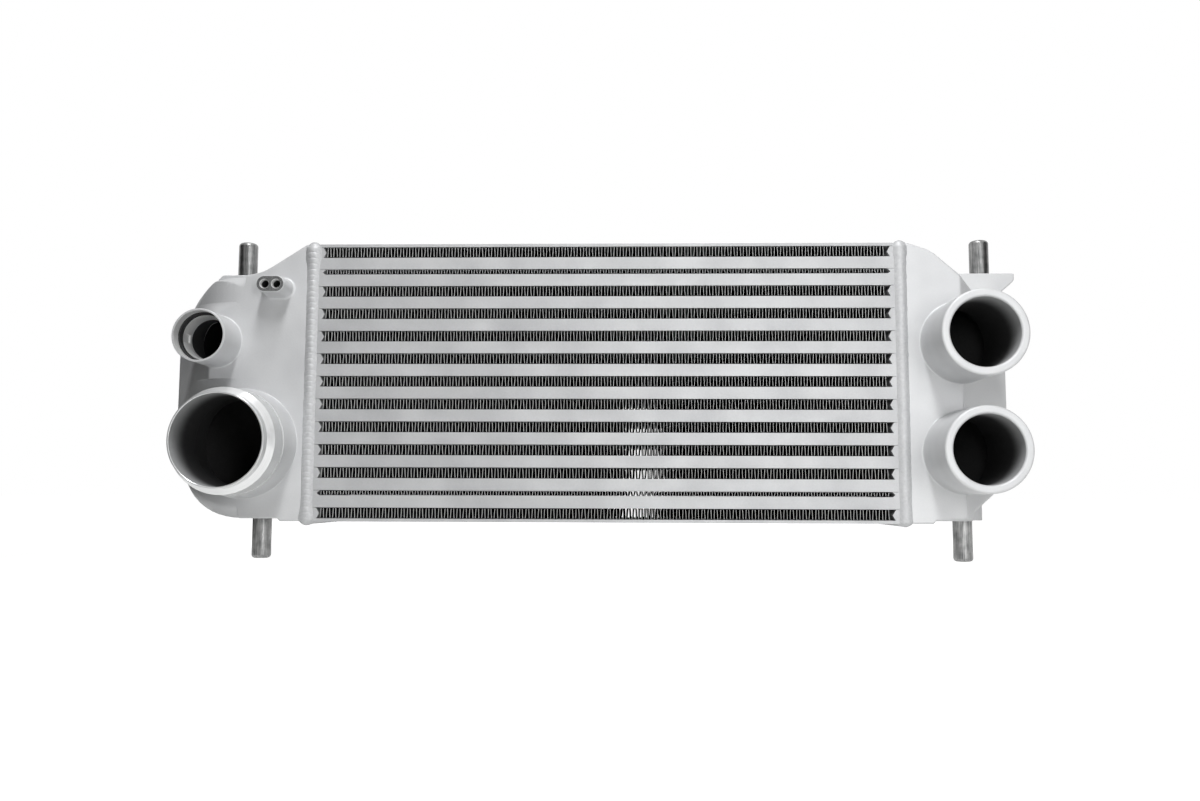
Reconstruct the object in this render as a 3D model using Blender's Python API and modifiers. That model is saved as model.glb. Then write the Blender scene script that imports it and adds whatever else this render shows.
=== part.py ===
"""Bar-and-plate intercooler: a brazed core between two cast end tanks.

The frame is +X to the right, +Y to the back and +Z up. The origin is on the
underside of the core's bottom side plate, midway along it and midway deep.
The hose necks point to the front, along -Y. Every length is in metres.
"""

import math

import bmesh
import bpy
import numpy as np
from mathutils import Matrix

# Fit between pieces that touch
SEAT_GAP = 0.0003

# Brazed core
CORE_LENGTH = 0.485
CORE_DEPTH = 0.089
SIDE_PLATE = 0.0025
WELD_PREP_DEPTH = 0.001
WELD_PREP_CLEARANCE = 0.001
PARTING_SHEET = 0.0008
CHARGE_BAR_HEIGHT = 0.00825
CHARGE_BAR_WIDTH = 0.008
TALL_FIN = 0.0089
SHORT_FIN = 0.00424
FIN_ROWS = 13
END_BAR_WIDTH = 0.008
END_BAR_POINT = 0.0025
FIN_WAVE = 0.014
FIN_FOIL = 0.0003
TURBULATOR_WAVE = 0.012
TURBULATOR_FOIL = 0.0003
TURBULATOR_SETBACK = 0.002

# Weld bead round each end of the core
BEAD_WIDTH = 0.011
BEAD_HEIGHT = 0.003
BEAD_ROUNDING = 0.0026

# Both cast tanks
TANK_WALL = 0.004
FLANGE_LENGTH = 0.022
FLANGE_STEP = 0.0022
FLANGE_EDGE = 0.0015
EDGE_CHANGE = 0.0015
NOSE_HALF_DEPTH = 0.005
NECK_ROOT = 0.036
NECK_ROOT_FLARE = 0.0018

# Left tank, lengths along X measured from the end of the core
LEFT_MARGIN = 0.0263
LEFT_SLOPE_START = 0.006
LEFT_SLOPE_END = 0.0455
LEFT_TOP_DROP = 0.0263
LEFT_TOP_FALL = 0.001
LEFT_SLOPE_START_RADIUS = 0.002
LEFT_SLOPE_END_RADIUS = 0.045
LEFT_TOP_RADIUS = 0.062
LEFT_BOTTOM_RADIUS = 0.070
LEFT_BEND_TO_WALL = 0.0421
LEFT_BEND_RADIUS = 0.075
LEFT_SQUARE_EDGE = 0.0555
LEFT_TANK_EDGE = 0.011

# Right tank, lengths along X measured from the end of the core
RIGHT_MARGIN = 0.015
RIGHT_SLOPE_START = 0.007
RIGHT_SLOPE_START_RADIUS = 0.010
RIGHT_SHOULDER_REACH = 0.025
RIGHT_SHOULDER_DROP = 0.0063
RIGHT_SHOULDER_RADIUS = 0.030
RIGHT_TOP_DROP = 0.0659
RIGHT_FOOT_REACH = 0.0555
RIGHT_FOOT_RISE = 0.0063
RIGHT_CHAMFER_RISE = 0.0257
RIGHT_TANK_EDGE = 0.003
RIGHT_WALL_RADIUS = 0.002
RIGHT_BEND_TO_WALL = 0.0485
RIGHT_BEND_RADIUS = 0.004

# Outlet neck of the left tank, with the turned adaptor that is pressed in it
OUTLET_FROM_CORE = 0.0545
OUTLET_RISE = 0.0634
OUTLET_BORE_RADIUS = 0.0362
OUTLET_WALL = 0.0018
OUTLET_SPIGOT = 0.0075
OUTLET_STEP = 0.0025
OUTLET_RING_WALL = 0.008
OUTLET_RING_LENGTH = 0.019
OUTLET_TAIL_WALL = 0.0038
OUTLET_TAIL_LENGTH = 0.019
OUTLET_COLLAR_LENGTH = 0.0267
OUTLET_COLLAR_LIP = 0.0006
OUTLET_COLLAR_DRAFT = 0.0014

# Bypass port of the left tank, with the turned bush that is pressed in it
PORT_FROM_CORE = 0.0805
PORT_RISE = 0.1479
PORT_LENGTH = 0.035
PORT_RADIUS = 0.021
PORT_LIP = 0.0015
PORT_BUSH_DEPTH = 0.008
PORT_BUSH_LENGTH = 0.016
PORT_BORE_RADIUS = 0.0145
PORT_CHAMFER = 0.0025
PORT_NOTCH_WIDTH = 0.007
PORT_NOTCH_DEPTH = 0.003
PORT_PAD_DROP = 0.031
PORT_PAD_RISE = 0.029
PORT_PAD_CORNER = 0.003
PORT_PAD_SINK = 0.0001

# Sensor boss of the left tank, with two threaded holes
SENSOR_FROM_CORE = 0.0279
SENSOR_DROP = 0.0372
SENSOR_LENGTH = 0.020
SENSOR_HALF_HEIGHT = 0.0068
SENSOR_DRAFT = 0.001
SENSOR_HOLE_SPACING = 0.0095
SENSOR_HOLE_RADIUS = 0.0025
SENSOR_HOLE_MOUTH = 0.0036
SENSOR_HOLE_DEPTH = 0.014

# Two inlet necks of the right tank
INLET_FROM_CORE = 0.0485
INLET_LOWER_RISE = 0.0574
INLET_UPPER_DROP = 0.0827
INLET_LENGTH = 0.056
INLET_BORE_RADIUS = 0.027
INLET_WALL = 0.0065
INLET_RIM_ROUNDING = 0.002

# Mounting pins and the bosses that hold them
PIN_RADIUS = 0.008
PIN_END_CHAMFER = 0.003
PIN_SEAT_DEPTH = 0.014
PIN_BELOW_SEAT = 0.0346
PIN_ABOVE_SEAT = 0.0315
BOSS_WALL = 0.008
BOSS_FLOOR = 0.006
LOWER_LEFT_PIN_FROM_CORE = 0.0518
LOWER_RIGHT_PIN_FROM_CORE = 0.0588
UPPER_LEFT_PIN_FROM_CORE = 0.0722
UPPER_RIGHT_PIN_FROM_WALL = 0.0175
SHELF_DROP = 0.0195
SHELF_DEPTH = 0.033
SHELF_INNER_REACH = 0.0225
LEFT_SHELF_REACH = 0.0193
RIGHT_SHELF_REACH = 0.0234
SHELF_END_HEIGHT = 0.006
SHELF_END_CHAMFER = 0.004
SHELF_UNDERSIDE_RUN = 0.025
SHELF_UNDERSIDE_DROP = 0.021

# Fineness of the facets
CORNER_STEPS = 2
BEND_STEPS = 3
ARC_STEPS = 6
STATION_SPACING = 0.0012
NECK_SIDES = 32
PORT_SIDES = 24
PIN_SIDES = 20
HOLE_SIDES = 12

PASSAGE = CHARGE_BAR_HEIGHT + 2 * PARTING_SHEET
FIN_HEIGHTS = [TALL_FIN] * FIN_ROWS
FIN_HEIGHTS[1] = SHORT_FIN
FIN_HEIGHTS[-2] = SHORT_FIN
CORE_HEIGHT = 2 * SIDE_PLATE + sum(FIN_HEIGHTS) + (FIN_ROWS - 1) * PASSAGE

OUTLET_LENGTH = OUTLET_COLLAR_LENGTH + SEAT_GAP + OUTLET_RING_LENGTH + OUTLET_STEP + OUTLET_SPIGOT
OUTLET_SPIGOT_RADIUS = OUTLET_BORE_RADIUS + OUTLET_WALL
OUTLET_RING_RADIUS = OUTLET_BORE_RADIUS + OUTLET_RING_WALL
OUTLET_TAIL_RADIUS = OUTLET_BORE_RADIUS + OUTLET_TAIL_WALL
OUTLET_COLLAR_RADIUS = OUTLET_RING_RADIUS + OUTLET_COLLAR_LIP + OUTLET_COLLAR_DRAFT
PORT_BUSH_RADIUS = PORT_RADIUS - PORT_LIP
INLET_RADIUS = INLET_BORE_RADIUS + INLET_WALL
LEFT_REACH = OUTLET_FROM_CORE + OUTLET_COLLAR_RADIUS + LEFT_MARGIN
RIGHT_REACH = INLET_FROM_CORE + INLET_RADIUS + RIGHT_MARGIN
LEFT_TOP = CORE_HEIGHT - LEFT_TOP_DROP
SHELF_TOP = CORE_HEIGHT - SHELF_DROP
UPPER_RIGHT_PIN_FROM_CORE = RIGHT_REACH - UPPER_RIGHT_PIN_FROM_WALL
BOSS_RADIUS = PIN_RADIUS + BOSS_WALL
BOSS_HEIGHT = PIN_SEAT_DEPTH + BOSS_FLOOR

LEFT = -1
RIGHT = 1
FRONT = -CORE_DEPTH / 2
TO_FRONT = Matrix.Rotation(math.radians(90), 4, "X")


# Scene and materials

def clear_scene():
    for item in list(bpy.data.objects):
        bpy.data.objects.remove(item, do_unlink=True)


def new_collection(name):
    made = bpy.data.collections.new(name)
    bpy.context.scene.collection.children.link(made)
    return made


def new_material(name, colour, metallic, roughness):
    made = bpy.data.materials.new(name)
    made.use_nodes = True
    made.diffuse_color = (*colour, 1.0)
    shader = made.node_tree.nodes["Principled BSDF"]
    shader.inputs["Base Color"].default_value = (*colour, 1.0)
    shader.inputs["Metallic"].default_value = metallic
    shader.inputs["Roughness"].default_value = roughness
    return made


clear_scene()
PARTS = new_collection("intercooler")
CUTTERS = new_collection("cutters")
COATED = new_material("silver_coated_aluminium", (0.60, 0.60, 0.61), 0.55, 0.45)
CAST = new_material("silver_coated_casting", (0.56, 0.56, 0.57), 0.55, 0.50)
FOIL = new_material("rolled_aluminium_foil", (0.55, 0.56, 0.58), 1.0, 0.35)
TURNED = new_material("turned_aluminium", (0.78, 0.79, 0.80), 1.0, 0.25)
STEEL = new_material("plated_steel", (0.62, 0.62, 0.61), 1.0, 0.30)


def add_part(name, mesh, finish, location=(0, 0, 0), rotation=(0, 0, 0)):
    """Place one piece of the intercooler as an object of its own."""
    part = bpy.data.objects.new(name, mesh)
    part.location = location
    part.rotation_euler = rotation
    if not mesh.materials:
        mesh.materials.append(finish)
    PARTS.objects.link(part)
    return part


def add_tool(name, mesh, location=(0, 0, 0)):
    """Place a shape that only joins or cuts another one."""
    tool = bpy.data.objects.new(name, mesh)
    tool.location = location
    tool.hide_render = True
    tool.display_type = "WIRE"
    CUTTERS.objects.link(tool)
    return tool


def combine(part, tool, operation):
    step = part.modifiers.new(tool.name, "BOOLEAN")
    step.operation = operation
    step.solver = "EXACT"
    step.object = tool


def join(part, tool):
    combine(part, tool, "UNION")


def cut(part, tool):
    combine(part, tool, "DIFFERENCE")


# Basic shapes

def to_mesh(shape, name, smooth_angle=None):
    """Turn a bmesh into a mesh with its faces pointing out."""
    bmesh.ops.recalc_face_normals(shape, faces=shape.faces)
    mesh = bpy.data.meshes.new(name)
    shape.to_mesh(mesh)
    shape.free()
    if smooth_angle is not None:
        mesh.shade_smooth()
        mesh.set_sharp_from_angle(angle=math.radians(smooth_angle))
    return mesh


def block(name, size):
    """Box centred on its origin."""
    shape = bmesh.new()
    bmesh.ops.create_cube(shape, size=1.0, matrix=Matrix.Diagonal((*size, 1.0)))
    return to_mesh(shape, name)


def rod(name, radius, length, sides, front=False):
    """Cylinder that starts at its origin and runs up, or to the front."""
    shape = bmesh.new()
    centre = Matrix.Translation((0, 0, length / 2))
    bmesh.ops.create_cone(shape, cap_ends=True, segments=sides, radius1=radius, radius2=radius,
                          depth=length, matrix=centre)
    if front:
        shape.transform(TO_FRONT)
    return to_mesh(shape, name, smooth_angle=40)


def baked(source, name):
    """Mesh of an object as its modifiers leave it; the object is removed."""
    bpy.context.view_layer.update()
    depsgraph = bpy.context.evaluated_depsgraph_get()
    mesh = bpy.data.meshes.new_from_object(source.evaluated_get(depsgraph))
    mesh.name = name
    bpy.data.objects.remove(source, do_unlink=True)
    return mesh


def turned(name, profile, sides, closed, front=True):
    """Revolve a profile of (radius, height) points and point its top to the front.

    The profile runs down its outer side. A closed one makes a ring, an open
    one starts and ends on the axis.
    """
    shape = bmesh.new()
    corners = [shape.verts.new((radius, 0, height)) for radius, height in profile]
    for first, second in zip(corners, corners[1:]):
        shape.edges.new((first, second))
    if closed:
        shape.edges.new((corners[-1], corners[0]))
    line = bpy.data.meshes.new(name)
    shape.to_mesh(line)
    shape.free()
    source = bpy.data.objects.new(name, line)
    CUTTERS.objects.link(source)
    spin = source.modifiers.new("turn", "SCREW")
    spin.axis = "Z"
    spin.steps = sides
    spin.render_steps = sides
    spin.use_merge_vertices = True
    spin.merge_threshold = 0.00001
    mesh = baked(source, name)
    if front:
        mesh.transform(TO_FRONT)
    mesh.shade_smooth()
    mesh.set_sharp_from_angle(angle=math.radians(35))
    return mesh


def extruded(name, outline, depth):
    """Solid with a closed outline of (x, z) points, centred on Y."""
    curve = bpy.data.curves.new(name, "CURVE")
    curve.dimensions = "2D"
    curve.fill_mode = "BOTH"
    curve.extrude = depth / 2
    spline = curve.splines.new("POLY")
    spline.points.add(len(outline) - 1)
    for point, (x, z) in zip(spline.points, outline):
        point.co = (x, z, 0, 1)
    spline.use_cyclic_u = True
    source = bpy.data.objects.new(name, curve)
    CUTTERS.objects.link(source)
    flat = baked(source, name)
    shape = bmesh.new()
    shape.from_mesh(flat)
    bpy.data.meshes.remove(flat)
    bmesh.ops.remove_doubles(shape, verts=shape.verts, dist=0.000001)
    shape.transform(TO_FRONT)
    return to_mesh(shape, name)


def loft(name, rings):
    """Solid through rings of equally many points, capped at both ends."""
    shape = bmesh.new()
    rows = [[shape.verts.new(point) for point in ring] for ring in rings]
    count = len(rows[0])
    for near, far in zip(rows, rows[1:]):
        for i in range(count):
            j = (i + 1) % count
            shape.faces.new((near[i], near[j], far[j], far[i]))
    shape.faces.new(rows[0])
    shape.faces.new(rows[-1])
    return to_mesh(shape, name, smooth_angle=30)


def corrugated(name, run, width, height, wave, foil):
    """Folded foil: its waves follow each other along X, its folds run along Y."""
    legs = max(2, round(run / (wave / 2)))
    leg = run / legs
    lean = math.hypot(1, height / leg)
    crest = (height - foil * lean) / 2
    shape = bmesh.new()
    fold = []
    for i in range(legs + 1):
        side = 1 if i % 2 else -1
        fold.append(shape.verts.new((i * leg - run / 2, -width / 2, side * crest)))
    edges = [shape.edges.new(pair) for pair in zip(fold, fold[1:])]
    drawn = bmesh.ops.extrude_edge_only(shape, edges=edges)["geom"]
    moved = [item for item in drawn if isinstance(item, bmesh.types.BMVert)]
    bmesh.ops.translate(shape, verts=moved, vec=(0, width, 0))
    sheet = to_mesh(shape, name)
    source = bpy.data.objects.new(name, sheet)
    CUTTERS.objects.link(source)
    skin = source.modifiers.new("foil", "SOLIDIFY")
    skin.thickness = foil
    skin.offset = 0
    skin.use_even_offset = True
    return baked(source, name)


# Outlines

def arc(centre, radius, start, end, steps):
    """Points on a circle between two angles in degrees."""
    angles = np.radians(np.linspace(start, end, steps + 1))
    return [(centre[0] + radius * math.cos(a), centre[1] + radius * math.sin(a)) for a in angles]


def rounded(points, radii, steps):
    """Open path through the points, with its corners rounded to the radii."""
    path = [points[0]]
    used = 0
    for i, radius in enumerate(radii):
        corner = np.array(points[i + 1])
        into = corner - np.array(points[i])
        away = np.array(points[i + 2]) - corner
        into_length = np.linalg.norm(into)
        away_length = np.linalg.norm(away)
        into = into / into_length
        away = away / away_length
        turn = math.acos(float(np.clip(into @ away, -1, 1)))
        last = i == len(radii) - 1
        room = min(0.98 * (into_length - used), (0.98 if last else 0.49) * away_length)
        used = min(radius * math.tan(turn / 2), room)
        if used < 1e-6:
            path.append(tuple(corner))
            continue
        start = corner - into * used
        end = corner + away * used
        for t in np.linspace(0, 1, steps + 1):
            weight = ((1 - t) ** 2, 2 * t * (1 - t) * math.cos(turn / 2), t ** 2)
            mixed = weight[0] * start + weight[1] * corner + weight[2] * end
            path.append(tuple(mixed / sum(weight)))
    path.append(points[-1])
    return path


def inset(points, distance):
    """The same path moved sideways, to its right as it is walked."""
    lines = []
    for first, second in zip(points, points[1:]):
        along = np.array(second) - np.array(first)
        along = along / np.linalg.norm(along)
        aside = np.array((along[1], -along[0])) * distance
        lines.append((np.array(first) + aside, np.array(second) + aside, along))
    moved = [tuple(lines[0][0])]
    for (start, _, along), (other, _, across) in zip(lines, lines[1:]):
        twist = along[0] * across[1] - along[1] * across[0]
        offset = other - start
        reach = (offset[0] * across[1] - offset[1] * across[0]) / twist
        moved.append(tuple(start + along * reach))
    moved.append(tuple(lines[-1][1]))
    return moved


def value_at(path, distance):
    """Height or half depth of a path at a distance from the core's end."""
    rising = [path[0]]
    for point in path[1:]:
        if point[0] > rising[-1][0] + 1e-7:
            rising.append(point)
    return float(np.interp(distance, [p[0] for p in rising], [p[1] for p in rising]))


def tank_section(x, half_depth, bottom, top, edge):
    """Rounded rectangle across a tank, as points in a plane of constant X."""
    edge = min(edge, 0.9 * half_depth, 0.45 * (top - bottom))
    corners = ((1, 1, 0), (-1, 1, 90), (-1, -1, 180), (1, -1, 270))
    ring = []
    for side, up, start in corners:
        centre = (side * (half_depth - edge), (top - edge) if up > 0 else (bottom + edge))
        ring += [(x, y, z) for y, z in arc(centre, edge, start, start + 90, CORNER_STEPS)]
    return ring


def tank_body(name, side, top, bottom, depth, edge, start):
    """Loft a tank, or the hollow in it, between its top, bottom and depth paths."""
    stations = {start}
    for path in (top, bottom, depth, edge):
        stations.update(point[0] for point in path if point[0] > start)
    ends = [path[-1][0] for path in (top, bottom, depth)]
    places = [place for place in sorted(stations) if place <= min(ends)]
    kept = [places[0]]
    for place in places[1:]:
        if place - kept[-1] > STATION_SPACING:
            kept.append(place)
    kept[-1] = min(ends)
    rings = []
    for place in kept:
        x = side * (CORE_LENGTH / 2 + place)
        rings.append(tank_section(x, value_at(depth, place), value_at(bottom, place),
                                  value_at(top, place), value_at(edge, place)))
    return loft(name, rings)


# Core

def end_bar_outline(height, side, root, point):
    """Bar that closes a fin row; its inner face comes to a point or a hollow."""
    outer = side * CORE_LENGTH / 2
    return [(outer, 0), (outer - side * root, 0), (outer - side * point, height / 2),
            (outer - side * root, height), (outer, height)]


def end_bars(carrier, name, height, base):
    """Join the two end bars of a fin row to the piece that they are brazed on."""
    tall = height > (TALL_FIN + SHORT_FIN) / 2
    root = END_BAR_WIDTH if tall else END_BAR_WIDTH + END_BAR_POINT
    point = END_BAR_WIDTH + END_BAR_POINT if tall else END_BAR_WIDTH
    sunk = PARTING_SHEET / 2
    for side in (LEFT, RIGHT):
        outline = end_bar_outline(height - SEAT_GAP + sunk, side, root, point)
        bar = extruded(f"{name}_end_bar_{side}", outline, CORE_DEPTH)
        join(carrier, add_tool(bar.name, bar, (0, 0, base - sunk)))


def side_plate(name, base, outward):
    """Plate whose ends are bevelled on the outside, where the weld bead lies."""
    half = CORE_LENGTH / 2
    prep = BEAD_WIDTH / 2 + WELD_PREP_CLEARANCE
    inner = SIDE_PLATE if outward < 0 else 0
    outer = SIDE_PLATE - inner
    shoulder = outer - outward * WELD_PREP_DEPTH
    outline = [(-half, inner), (half, inner), (half, shoulder), (half - prep, outer),
               (prep - half, outer), (-half, shoulder)]
    return add_part(name, extruded(name, outline, CORE_DEPTH), COATED, (0, 0, base))


def charge_tube_mesh(name, fin_height):
    """Two parting sheets and two long bars, carrying the end bars of the row above."""
    tube = bpy.data.objects.new(name, block(name, (CORE_LENGTH, CORE_DEPTH, PASSAGE)))
    CUTTERS.objects.link(tube)
    hollow = (2 * CORE_LENGTH, CORE_DEPTH - 2 * CHARGE_BAR_WIDTH, CHARGE_BAR_HEIGHT)
    cut(tube, add_tool(f"{name}_passage", block(f"{name}_passage", hollow)))
    end_bars(tube, name, fin_height, PASSAGE / 2)
    tools = [step.object for step in tube.modifiers]
    mesh = baked(tube, name)
    for tool in tools:
        bpy.data.objects.remove(tool, do_unlink=True)
    return mesh


def fin_mesh(name, height):
    inner = CORE_LENGTH / 2 - END_BAR_WIDTH - END_BAR_POINT - SEAT_GAP
    return corrugated(name, 2 * inner, CORE_DEPTH, height - 2 * SEAT_GAP, FIN_WAVE, FIN_FOIL)


def build_core():
    """Stack the core from the bottom plate up; rows are numbered from the top."""
    tube_meshes = {h: charge_tube_mesh(f"charge_tube_{n}", h)
                   for h, n in ((TALL_FIN, "tall"), (SHORT_FIN, "short"))}
    fin_meshes = {h: fin_mesh(f"ambient_fins_{n}", h)
                  for h, n in ((TALL_FIN, "tall"), (SHORT_FIN, "short"))}
    turbulator = corrugated("turbulator", CORE_DEPTH - 2 * (CHARGE_BAR_WIDTH + SEAT_GAP),
                            CORE_LENGTH - 2 * TURBULATOR_SETBACK,
                            CHARGE_BAR_HEIGHT - 2 * SEAT_GAP, TURBULATOR_WAVE, TURBULATOR_FOIL)
    bottom = side_plate("bottom_side_plate", 0, -1)
    end_bars(bottom, "bottom_side_plate", FIN_HEIGHTS[-1], SIDE_PLATE)

    z = SIDE_PLATE
    for row in range(FIN_ROWS, 0, -1):
        height = FIN_HEIGHTS[row - 1]
        add_part(f"ambient_fins_{row:02d}", fin_meshes[height], FOIL, (0, 0, z + height / 2))
        z += height
        if row > 1:
            tube_number = row - 1
            middle = z + PASSAGE / 2
            add_part(f"charge_tube_{tube_number:02d}", tube_meshes[FIN_HEIGHTS[row - 2]],
                     COATED, (0, 0, middle))
            add_part(f"turbulator_{tube_number:02d}", turbulator, FOIL, (0, 0, middle),
                     (0, 0, math.radians(90)))
            z += PASSAGE

    side_plate("top_side_plate", z, 1)


# Weld beads

def build_weld_bead(name, side):
    """Rounded ring round the joint between the core and a tank."""
    outer = (BEAD_WIDTH, CORE_DEPTH + 2 * BEAD_HEIGHT, CORE_HEIGHT + 2 * BEAD_HEIGHT)
    bead = add_part(name, block(name, outer), CAST, (side * CORE_LENGTH / 2, 0, CORE_HEIGHT / 2))
    crown = bead.modifiers.new("crown", "BEVEL")
    crown.width = BEAD_ROUNDING
    crown.segments = 3
    inner = (BEAD_WIDTH * 2, CORE_DEPTH + 2 * SEAT_GAP, CORE_HEIGHT + 2 * SEAT_GAP)
    cut(bead, add_tool(f"{name}_hole", block(f"{name}_hole", inner), bead.location))


# Tanks

def left_paths():
    """Top, bottom and depth paths of the left tank, from the core's end outward."""
    middle = LEFT_TOP / 2
    top = [(SEAT_GAP, CORE_HEIGHT), (LEFT_SLOPE_START, CORE_HEIGHT),
           (LEFT_SLOPE_END, LEFT_TOP + LEFT_TOP_FALL), (LEFT_REACH, LEFT_TOP), (LEFT_REACH, middle)]
    bottom = [(SEAT_GAP, 0), (FLANGE_LENGTH, 0), (FLANGE_LENGTH + FLANGE_STEP, FLANGE_STEP),
              (LEFT_REACH, FLANGE_STEP), (LEFT_REACH, middle)]
    depth = [(SEAT_GAP, CORE_DEPTH / 2), (LEFT_REACH - LEFT_BEND_TO_WALL, CORE_DEPTH / 2),
             (LEFT_REACH, NOSE_HALF_DEPTH), (LEFT_REACH, 0)]
    radii = ((LEFT_SLOPE_START_RADIUS, LEFT_SLOPE_END_RADIUS, LEFT_TOP_RADIUS),
             (0, 0, LEFT_BOTTOM_RADIUS), (LEFT_BEND_RADIUS, 0))
    return top, bottom, depth, radii


def right_paths():
    """Top, bottom and depth paths of the right tank, from the core's end outward."""
    wall_top = CORE_HEIGHT - RIGHT_TOP_DROP
    chamfer_foot = FLANGE_STEP + RIGHT_FOOT_RISE
    wall_bottom = chamfer_foot + RIGHT_CHAMFER_RISE
    top = [(SEAT_GAP, CORE_HEIGHT), (RIGHT_SLOPE_START, CORE_HEIGHT),
           (RIGHT_SHOULDER_REACH, CORE_HEIGHT - RIGHT_SHOULDER_DROP), (RIGHT_REACH, wall_top),
           (RIGHT_REACH, wall_bottom)]
    bottom = [(SEAT_GAP, 0), (FLANGE_LENGTH, 0), (FLANGE_LENGTH + FLANGE_STEP, FLANGE_STEP),
              (RIGHT_FOOT_REACH, FLANGE_STEP), (RIGHT_FOOT_REACH + EDGE_CHANGE, chamfer_foot),
              (RIGHT_REACH, wall_bottom),
              (RIGHT_REACH, wall_top)]
    depth = [(SEAT_GAP, CORE_DEPTH / 2), (RIGHT_REACH - RIGHT_BEND_TO_WALL, CORE_DEPTH / 2),
             (RIGHT_REACH, NOSE_HALF_DEPTH), (RIGHT_REACH, 0)]
    radii = ((RIGHT_SLOPE_START_RADIUS, RIGHT_SHOULDER_RADIUS, RIGHT_WALL_RADIUS),
             (0, 0, 0, 0, RIGHT_WALL_RADIUS), (RIGHT_BEND_RADIUS, 0))
    return top, bottom, depth, radii


def tank_shapes(name, side, paths, edge):
    """Outer body of a tank and the hollow that its wall leaves inside."""
    top, bottom, depth, radii = paths
    outer = [rounded(path, corner, ARC_STEPS) for path, corner in zip((top, bottom, depth), radii)]
    walls = (TANK_WALL, -TANK_WALL, TANK_WALL)
    inner = []
    for path, corner, wall in zip((top, bottom, depth), radii, walls):
        smaller = [max(radius - TANK_WALL, 0) for radius in corner]
        inner.append(rounded(inset(path, wall), smaller, BEND_STEPS))
    body = tank_body(name, side, *outer, edge, SEAT_GAP)
    hollow = tank_body(f"{name}_hollow", side, *inner, edge, -SEAT_GAP)
    return body, hollow


def left_edge():
    """Radius along the left tank's long edges: square by the core, then round."""
    return [(0, FLANGE_EDGE), (LEFT_SQUARE_EDGE, FLANGE_EDGE),
            (LEFT_SQUARE_EDGE + EDGE_CHANGE, LEFT_TANK_EDGE), (LEFT_REACH, LEFT_TANK_EDGE)]


def right_edge():
    """Radius along the right tank's long edges, growing away from the core."""
    return [(0, FLANGE_EDGE), (FLANGE_LENGTH, FLANGE_EDGE), (RIGHT_REACH, RIGHT_TANK_EDGE)]


def neck_place(side, from_core, height):
    return side * (CORE_LENGTH / 2 + from_core), FRONT, height


def pin_boss(tank, name, side, from_core, seat, up):
    """Solid boss inside the wall that a mounting pin is pressed in."""
    length = BOSS_HEIGHT
    base = seat - length if up else seat
    place = (side * (CORE_LENGTH / 2 + from_core), 0, base)
    join(tank, add_tool(f"{name}_boss", rod(f"{name}_boss", BOSS_RADIUS, length, PORT_SIDES), place))


def build_pin(tank, name, side, from_core, seat, up):
    """Drill the pin's seat in the tank and press the pin in it."""
    x = side * (CORE_LENGTH / 2 + from_core)
    drill_length = PIN_SEAT_DEPTH + PIN_RADIUS
    drill = rod(f"{name}_seat", PIN_RADIUS + SEAT_GAP, drill_length, PIN_SIDES)
    drill_base = seat - PIN_SEAT_DEPTH if up else seat + PIN_SEAT_DEPTH - drill_length
    cut(tank, add_tool(drill.name, drill, (x, 0, drill_base)))

    length = PIN_SEAT_DEPTH - SEAT_GAP + (PIN_ABOVE_SEAT if up else PIN_BELOW_SEAT)
    shoulder = PIN_RADIUS - PIN_END_CHAMFER
    knee = PIN_RADIUS - PIN_END_CHAMFER / 3
    profile = [(0, length), (shoulder, length), (knee, length - PIN_END_CHAMFER / 3),
               (PIN_RADIUS, length - PIN_END_CHAMFER), (PIN_RADIUS, 0), (0, 0)]
    inner_end = seat - PIN_SEAT_DEPTH + SEAT_GAP if up else seat + PIN_SEAT_DEPTH - SEAT_GAP
    turn = (0, 0, 0) if up else (math.pi, 0, 0)
    add_part(name, turned(name, profile, PIN_SIDES, closed=False, front=False), STEEL,
             (x, 0, inner_end), turn)


def shelf(tank, name, side, from_core, reach, undercut):
    """Flat-topped bracket on the tank's slope, for an upper mounting pin."""
    inner = from_core - SHELF_INNER_REACH
    outer = from_core + reach
    end_foot = SHELF_TOP - SHELF_END_HEIGHT
    if undercut:
        low = end_foot - SHELF_END_CHAMFER - SHELF_UNDERSIDE_DROP
        outline = [(inner, SHELF_TOP), (outer, SHELF_TOP), (outer, end_foot),
                   (outer - SHELF_END_CHAMFER, end_foot - SHELF_END_CHAMFER),
                   (outer - SHELF_END_CHAMFER - SHELF_UNDERSIDE_RUN, low), (inner, low)]
    else:
        low = LEFT_TOP - LEFT_TOP_RADIUS / 4
        outline = [(inner, SHELF_TOP), (outer - SHELF_END_CHAMFER, SHELF_TOP),
                   (outer, SHELF_TOP - SHELF_END_CHAMFER), (outer, low), (inner, low)]
    outline = [(side * (CORE_LENGTH / 2 + x), z) for x, z in outline]
    join(tank, add_tool(f"{name}_shelf", extruded(f"{name}_shelf", outline, SHELF_DEPTH)))


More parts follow.
